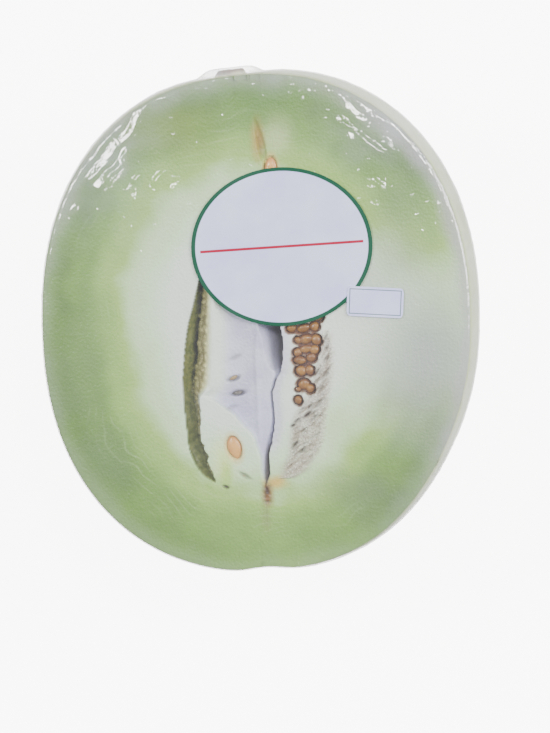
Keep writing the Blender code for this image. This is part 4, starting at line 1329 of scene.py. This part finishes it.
haze = times(tree, mask_of(tree, "haze"), haze_share, clamp=True)
body = blend(tree, haze, see.outputs[0], shader.outputs[0])
back = put(tree, "ShaderNodeNewGeometry").outputs["Backfacing"]
outer_share = times(tree, mirror_share, reckon(tree, "SUBTRACT", 1.0, back))
whole = blend(tree, outer_share, body, mirror.outputs[0])
paths = put(tree, "ShaderNodeLightPath").outputs
unseen = reckon(tree, "MAXIMUM", paths["Is Shadow Ray"], paths["Is Diffuse Ray"])
film_shader = blend(tree, unseen, whole, see.outputs[0])
tree.links.new(film_shader, tree.nodes["Material Output"].inputs["Surface"])
film.data.materials.append(clear)
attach(film, "root")
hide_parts("cling_film")

# %% [markdown]
# ## Labels
# The labels are thin paper. Each starts as a flat form at its real size and gets a slight wave and
# the paper's thickness. The oval one's edge curls a little, and the small one steps up where it
# lies over the oval. The print is drawn by nodes: a green rim that follows the oval and one red
# rule, and a thin green frame on the small one. The rest of both is bare.

# %% Label shapes
OVAL_HALF, OVAL_MIDDLE, OVAL_TURN = (34.25, 29.75), (12.0, 29.0), math.radians(1.3)
SMALL_HALF, SMALL_MIDDLE, SMALL_TURN = (10.6, 5.6), (46.2, 6.8), math.radians(-5.2)
SMALL_CORNER = 1.6
PAPER = 0.14
LABEL_LIFT = 0.62


def turned(points, turn, middle_point):
    """Flat points turned and moved on the cut face."""
    c, s = math.cos(turn), math.sin(turn)
    return np.column_stack((points[:, 0] * c - points[:, 1] * s + middle_point[0],
                            points[:, 0] * s + points[:, 1] * c + middle_point[1]))


def finish_label(label, name):
    label.name = name
    only(label)
    paper_wall = label.modifiers.new("paper", "SOLIDIFY")
    paper_wall.thickness = PAPER * MM
    paper_wall.offset = 1
    bpy.ops.object.modifier_apply(modifier="paper")
    bpy.ops.object.shade_smooth_by_angle(angle=math.radians(40))


RINGS, SPOKES = 26, 160
bpy.ops.mesh.primitive_circle_add(vertices=SPOKES, radius=1, fill_type="NGON")
oval = bpy.context.object
bpy.ops.object.mode_set(mode="EDIT")
bpy.ops.mesh.select_mode(type="FACE")
bpy.ops.mesh.select_all(action="SELECT")
for number in range(RINGS):
    bpy.ops.mesh.inset(thickness=(1 / (RINGS + 1)) * 0.98, depth=0)
bpy.ops.object.mode_set(mode="OBJECT")
flat = places_of(oval)
places_flat = turned(flat[:, :2] * OVAL_HALF, OVAL_TURN, OVAL_MIDDLE)
radius = np.hypot(flat[:, 0], flat[:, 1])
curl = 0.1 * smooth(0.9, 1.0, radius) * (0.5 + 0.5 * noise(np.arctan2(flat[:, 1], flat[:, 0]) * 3,
                                                          radius * 0, 1, 71))
wave = 0.07 * noise(places_flat[:, 0], places_flat[:, 1], 13, 72)
move_to(oval, np.column_stack((places_flat, CUT + LABEL_LIFT + 0.07 + curl + wave)))
finish_label(oval, "oval_label")

bpy.ops.mesh.primitive_grid_add(x_subdivisions=60, y_subdivisions=32, size=2)
small = bpy.context.object
flat = places_of(small)[:, :2] * SMALL_HALF
past = np.maximum(0, np.abs(flat[:, 0]) - (SMALL_HALF[0] - SMALL_CORNER))
room = SMALL_CORNER - np.sqrt(np.maximum(0, SMALL_CORNER ** 2 - past ** 2))
flat[:, 1] *= (SMALL_HALF[1] - room) / SMALL_HALF[1]
places_flat = turned(flat, SMALL_TURN, SMALL_MIDDLE)
local = places_flat - OVAL_MIDDLE
over_oval = smooth(1.05, 0.99, np.hypot(local[:, 0] / OVAL_HALF[0], local[:, 1] / OVAL_HALF[1]))
step_up = (PAPER + 0.12) * over_oval + 0.03 * noise(places_flat[:, 0], places_flat[:, 1], 5, 73)
move_to(small, np.column_stack((places_flat, CUT + LABEL_LIFT + 0.06 + step_up)))
finish_label(small, "small_label")


def local_place(tree, place, middle_point, turn):
    """The place on a label, measured from its middle along its own axes, in mm."""
    node = put(tree, "ShaderNodeMapping", {"vector_type": "TEXTURE"}, Vector=place)
    node.inputs["Location"].default_value = (*middle_point, 0)
    node.inputs["Rotation"].default_value = (0, 0, turn)
    return put(tree, "ShaderNodeSeparateXYZ", Vector=node.outputs[0]).outputs


def label_paper(name):
    """Coated white paper: a faint lilac cast, long soft clouds and the film's ripple."""
    material, tree, shader, place = new_material(name)
    _, clouds = grain(tree, place, 2.0, 0.06)
    shade = ramp(tree, clouds, [(0.35, colour(206, 210, 250)), (0.65, colour(218, 222, 255))])
    pulp = drift(tree, place, 3.0, 4.0)
    feed(tree, shader.inputs["Roughness"], ramp(tree, clouds, [(0.3, 0.3), (0.7, 0.42)]))
    feed(tree, shader.inputs["Normal"], bump(tree, pulp, 0.05, 0.4))
    return material, tree, shader, place, shade


def line_mask(tree, value, middle_value, half, edge=0.12):
    """1 where a value is within half of the middle value."""
    away = reckon(tree, "ABSOLUTE", reckon(tree, "SUBTRACT", value, middle_value))
    return fade(tree, away, half + edge, half - edge, soft=True)


PRINT_GREEN = colour(10, 77, 54)
PRINT_RED = colour(170, 10, 52)
oval_paper, tree, shader, place, shade = label_paper("oval_label_print")
across_x, across_y, _ = local_place(tree, place, OVAL_MIDDLE, OVAL_TURN)
ratio = [reckon(tree, "POWER", reckon(tree, "DIVIDE", part, half), 2.0)
         for part, half in ((across_x, OVAL_HALF[0]), (across_y, OVAL_HALF[1]))]
oval_share = reckon(tree, "SQRT", reckon(tree, "ADD", *ratio))
rim_line = fade(tree, oval_share, 0.950, 0.958, soft=True)
rule = times(tree, line_mask(tree, across_y, 0.1, 0.5), line_mask(tree, across_x, 0, 30.9))
shade = mix(tree, rule, shade, PRINT_RED)
shade = mix(tree, rim_line, shade, PRINT_GREEN)
feed(tree, shader.inputs["Base Color"], shade)
oval.data.materials.append(oval_paper)

small_paper, tree, shader, place, shade = label_paper("small_label_print")
across_x, across_y, _ = local_place(tree, place, SMALL_MIDDLE, SMALL_TURN)
inset = [reckon(tree, "SUBTRACT", half, reckon(tree, "ABSOLUTE", part))
         for part, half in ((across_x, SMALL_HALF[0]), (across_y, SMALL_HALF[1]))]
frame_line = line_mask(tree, reckon(tree, "MINIMUM", *inset), 1.0, 0.16, 0.1)
shade = mix(tree, times(tree, frame_line, 0.85), shade, PRINT_GREEN)
feed(tree, shader.inputs["Base Color"], shade)
small.data.materials.append(small_paper)
for label, node in ((oval, "label_oval"), (small, "label_small")):
    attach(label, "root")
    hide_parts(node)
print("labels:", len(oval.data.polygons), len(small.data.polygons), "faces")
